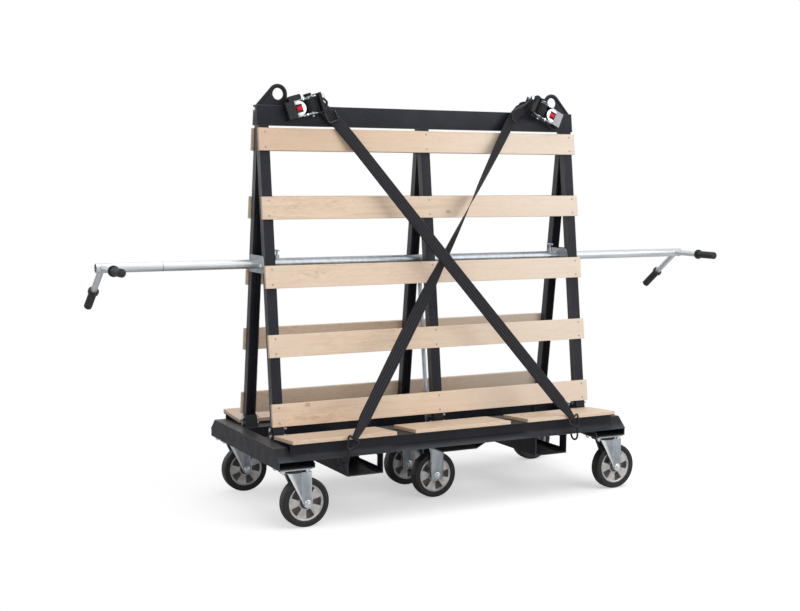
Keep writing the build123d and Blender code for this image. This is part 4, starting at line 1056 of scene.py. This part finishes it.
def reel_pieces(side):
    """The spool's shaft and wheels, the webbing wound on it and its end cap."""
    shaft = unit_matrix(side) @ Matrix.Translation((0, 0, SPOOL_H)) @ Matrix.Rotation(-pi / 2, 4, "X")
    toothed_wheels(side, shaft)
    wound_webbing(side, shaft)
    bm = bmesh.new()
    capped_lathe(bm, SHAFT_CAP, shaft, sides=28)
    outward(bm)
    finish_piece(f"reel_cap_{side}", bm, COVER, f"reel_{side}", "cover_plastic", smooth=40)


def in_unit(point):
    """A point in the frame of the unit at its end of the trolley."""
    side = "left" if point.x < 0 else "right"
    return unit_matrix(side).inverted() @ point


def frame_face(point, normal):
    """Bright disc and pin heads, and a black coat on the inner end of the base."""
    place = in_unit(point)
    if place.z > DISC_LEVEL:
        return BRIGHT
    return LEVER if place.x > BASE_DARK and place.z < BASE_LOW else None


def lower_arm(point, normal):
    """Bare zinc on the lever's lower arm."""
    return ZINC if in_unit(point).y < -ARM_IN else None


def lever_grip(side):
    """The moulded sleeve on a lever's cross bar, with flared ends."""
    bm = bmesh.new()
    loops = []
    for along, grow in GRIP_ENDS + [(-along, grow) for along, grow in reversed(GRIP_ENDS)]:
        points = []
        for corner in range(4):
            east = corner in (0, 3)
            north = corner in (0, 1)
            u = (GRIP_OUT[side] + grow - GRIP_ROUND) if east else (GRIP_IN - grow + GRIP_ROUND)
            w = (GRIP_HIGH + grow - GRIP_ROUND) if north else (GRIP_LOW - grow + GRIP_ROUND)
            for step in range(GRIP_STEPS + 1):
                turn = pi / 2 * (corner + step / GRIP_STEPS)
                points.append((u + GRIP_ROUND * cos(turn), along * GRIP_REACH, w + GRIP_ROUND * sin(turn)))
        loops.append(ring_of(bm, unit_matrix(side), points))
    closed_shell(bm, loops)
    finish_piece(f"lever_grip_{side}", bm, LEVER, f"lever_{side}", "cover_plastic", smooth=35)


def unit_screws(side):
    """The screw on a unit's frame and the one on its pivot."""
    for name, body, u, v in (
        ("frame_screw", TROLLEY, FRAME_SCREW_U, SIDE_OUT),
        ("pivot_screw", f"reel_{side}", 0.0, PIVOT_OUT),
    ):
        bm = bmesh.new()
        head = unit_matrix(side) @ frame_at((u, -v, SPOOL_H), (0, -1, 0))
        capped_lathe(bm, PIVOT_HEAD, head, sides=20)
        outward(bm)
        finish_piece(f"{name}_{side}", bm, BRIGHT, body, "zinc", smooth=40)


def bare_plate():
    """The plain plate on the right unit's cover."""
    bm = bmesh.new()
    rings = []
    for inset, level in PLATE_STEPS:
        low, high = COVER_SPAN[0] + inset, COVER_SPAN[1] - inset
        out = SIDE_OUT - PLATE_INSET - inset
        corners = [(low, -out), (high, -out), (high, out), (low, out)]
        rings.append(ring_of(bm, unit_matrix("right"), [(u, v, COVER_TOP + level) for u, v in corners]))
    closed_shell(bm, rings)
    finish_piece("bare_plate_right", bm, PLATE, TROLLEY, "cover_plastic")


for side in SIDES:
    reel_pieces(side)
softened("ratchet_frames", THIN_ROUND, choose=frame_face, smooth=30)
softened("retractor_covers", PLATE_ROUND, edge_look=COVER_EDGE_HIGHLIGHT)
for side in SIDES:
    softened(f"release_button_{side}", PLATE_ROUND, 3, smooth=40)
softened("ratchet_lever_left", THIN_ROUND, edge_look=COVER_EDGE_HIGHLIGHT)
softened("ratchet_lever_right", THIN_ROUND, choose=lower_arm)
for side in SIDES:
    unit_screws(side)
    lever_grip(side)
bare_plate()


# Straps
def stepped(points):
    """Points along straight runs, a step apart."""
    found = []
    for start, end in zip(points, points[1:]):
        count = max(2, ceil((end - start).length / STRAP_STEP))
        found += [start.lerp(end, number / count) for number in range(count)]
    return found + [points[-1]]


def eased(points):
    """Points with their corners eased, the ends kept."""
    for _ in range(EASE_ROUNDS):
        moved = points[:]
        for number in range(EASE_REACH, len(points) - EASE_REACH):
            near = points[number - EASE_REACH:number + EASE_REACH + 1]
            moved[number] = sum(near, Vector()) / len(near)
        points = moved
    return points


def strip(bm, centres, outs, widths):
    """A flat woven strip with rounded edges, through centres with an outward direction at each."""
    rings = []
    marks = {}
    length = 0.0
    for number, centre in enumerate(centres):
        before = centres[max(number - 1, 0)]
        length += (centre - before).length
        travel = (centres[min(number + 1, len(centres) - 1)] - before).normalized()
        out = (outs[number] - travel * outs[number].dot(travel)).normalized()
        across = travel.cross(out)
        ring = []
        for share, lift in STRIP_OUTLINE:
            vert = bm.verts.new(centre + across * share * widths[number] / 2 + out * lift * WEB_T / 2)
            marks[vert] = (share * WEB_W / 2, length)
            ring.append(vert)
        rings.append(ring)
    faces = skin(bm, rings)
    faces += [bm.faces.new(list(reversed(rings[0]))), bm.faces.new(rings[-1])]
    mark_strip(bm, faces, marks)
    bmesh.ops.recalc_face_normals(bm, faces=faces)


def twist_at(share):
    """The right strap's twist at a share of the way from its turn to the crossing."""
    for (one, low), (two, high) in zip(STRAP_TWIST, STRAP_TWIST[1:]):
        if share <= two:
            return radians(low + (high - low) * max(0.0, share - one) / (two - one))
    return radians(STRAP_TWIST[-1][1])


def sewn_loop(end, slant, travel, out):
    """The strap's end round the ring's bar and back up over itself: centres and outward directions."""
    bar = end + slant * (RING_R + RING_ROOM)
    reach = RING_R + WEB_T / 2 + RING_ROOM
    lap = WEB_T + STITCH
    centres = [bar - travel * LOOP_START - out * reach * LOOP_BACK]
    outs = [-out]
    for number in range(LOOP_STEPS + 1):
        angle = pi * number / LOOP_STEPS
        radial = -out * cos(angle) + travel * sin(angle)
        centres.append(bar + radial * reach)
        outs.append(radial)
    for up, turn_share, lap_share in LAP:
        lift = turn_share * reach + lap_share * lap
        centres.append(bar - travel * up + out * max(lift, lap))
        outs.append(out)
    return centres, outs


def gathered(distance):
    """The strap's width at a distance from its lower end."""
    return GATHER_W + (WEB_W - GATHER_W) * min(1.0, distance / GATHER_L)


def strap_run(points, outs_at):
    """A whole strap, its taut run and its sewn end: centres, outward directions and widths."""
    centres = eased(stepped(points))
    outs = [outs_at(centre) for centre in centres]
    travel = (centres[-1] - centres[-2]).normalized()
    out = -(outs[-1] - travel * outs[-1].dot(travel)).normalized()
    end = points[-1]
    while (end - centres[-1]).length < RUN_END:
        centres.pop()
        outs.pop()
    slant = Vector((end.x - points[-2].x, 0, end.z - points[-2].z)).normalized()
    loop, loop_outs = sewn_loop(end, slant, travel, out)
    widths = [gathered((end - centre).length) for centre in centres + loop]
    return centres + loop, outs + loop_outs, widths


def strap_pieces():
    """Both straps as one woven piece."""
    bm = bmesh.new()
    left = [Vector(point) for point in STRAP_LEFT]
    right = [Vector(point) for point in STRAP_RIGHT]
    flat = Vector((0, -1, 0))

    def left_out(centre):
        share = min(1.0, (left[0].z - centre.z) / (left[0].z - left[2].z))
        return -front_normal.lerp(flat, share)

    turn, cross, end = right[1:]

    def right_out(centre):
        share = (turn.z - centre.z) / (turn.z - cross.z)
        if centre.x > turn.x or share <= 0:
            return front_normal
        travel = (cross - turn if share < 1 else end - cross).normalized()
        out = front_normal.lerp(flat, min(1.0, share))
        out = out - travel * out.dot(travel)
        return Matrix.Rotation(twist_at(share), 3, travel) @ out

    strip(bm, *strap_run(left, left_out))
    strip(bm, *strap_run(right, right_out))
    piece = finish_piece("straps_woven", bm, WEB, TROLLEY, "webbing", smooth=50)
    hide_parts("straps")


strap_pieces()
thickened("strap_hooks", WIRE_MORE)
for side in SIDES:
    thickened(f"unit_hook_{side}", HOOK_MORE)


# Studio
def studio_world():
    """A soft light all round, seen as white by the camera and as a darker room in front in reflections."""
    world = bpy.data.worlds.new("studio")
    scene.world = world
    world.use_nodes = True
    nodes = Nodes(world.node_tree)
    light = nodes.tree.nodes["Background"]
    nodes.feed(light.inputs["Color"], WHITE)
    nodes.feed(light.inputs["Strength"], WORLD_LIGHT)
    rays = nodes.add("ShaderNodeLightPath")
    camera = rays["Is Camera Ray"]
    ahead = nodes.split(nodes.add("ShaderNodeTexCoord")["Generated"])["Y"]
    room = nodes.grade(ahead, -ROOM_FADE, ROOM_FADE, FRONT_ROOM)
    bright = nodes.math("MAXIMUM", camera, room)
    shown = nodes.add("ShaderNodeBackground", {"Color": WHITE, "Strength": bright})[0]
    seen = nodes.math("MAXIMUM", camera, rays["Is Glossy Ray"])
    mixed = nodes.add("ShaderNodeMixShader", {0: seen, 1: light.outputs[0], 2: shown})[0]
    nodes.feed(nodes.tree.nodes["World Output"].inputs["Surface"], mixed)


def studio_floor():
    """A pale floor that keeps the shadow near the trolley and is white to the camera further out."""
    bpy.ops.mesh.primitive_plane_add(size=FLOOR_SIZE, location=(0, 0, 0))
    floor = bpy.context.object
    floor.name = "floor"
    look = bpy.data.materials.new("floor")
    look.use_nodes = True
    look.node_tree.nodes.clear()
    nodes = Nodes(look.node_tree)
    camera = nodes.add("ShaderNodeLightPath")["Is Camera Ray"]
    place = nodes.add("ShaderNodeNewGeometry")["Position"]
    far = nodes.grade(nodes.measure("DISTANCE", place, SHADE_AT), SHADE_NEAR, SHADE_FAR)
    diffuse = nodes.add("ShaderNodeBsdfDiffuse", {"Color": FLOOR_GREY})[0]
    level = nodes.times(camera, FLOOR_GLOW)
    glow = nodes.add("ShaderNodeEmission", {"Color": WHITE, "Strength": level})[0]
    near = nodes.add("ShaderNodeAddShader", {0: diffuse, 1: glow})[0]
    white = nodes.add("ShaderNodeEmission", {"Color": WHITE})[0]
    mixed = nodes.add("ShaderNodeMixShader", {0: nodes.times(camera, far), 1: near, 2: white})[0]
    nodes.add("ShaderNodeOutputMaterial", {"Surface": mixed})
    floor.data.materials.append(look)


def studio_lamps():
    """Large soft lamps above and in front."""
    for name, place, aim, size, energy in LAMPS:
        data = bpy.data.lights.new(name, "AREA")
        data.shape = "SQUARE"
        data.size = size
        data.energy = energy
        lamp = bpy.data.objects.new(name, data)
        lamp.location = place
        lamp.rotation_euler = (Vector(aim) - Vector(place)).to_track_quat("-Z", "Y").to_euler()
        scene.collection.objects.link(lamp)


def studio_camera():
    """The camera at the photograph's place."""
    data = bpy.data.cameras.new("camera")
    data.sensor_fit = "HORIZONTAL"
    data.sensor_width = CAMERA_SENSOR
    data.lens = CAMERA_LENS
    data.clip_end = CAMERA_FAR
    camera = bpy.data.objects.new("camera", data)
    aim = Matrix.Rotation(-CAMERA_YAW, 4, "Z") @ Matrix.Rotation(pi / 2 - CAMERA_PITCH, 4, "X")
    camera.matrix_world = Matrix.Translation(CAMERA_AT) @ aim @ Matrix.Rotation(CAMERA_ROLL, 4, "Z")
    scene.collection.objects.link(camera)
    bpy.context.scene.camera = camera


scene.view_settings.view_transform = "Standard"
studio_world()
studio_floor()
studio_lamps()
studio_camera()
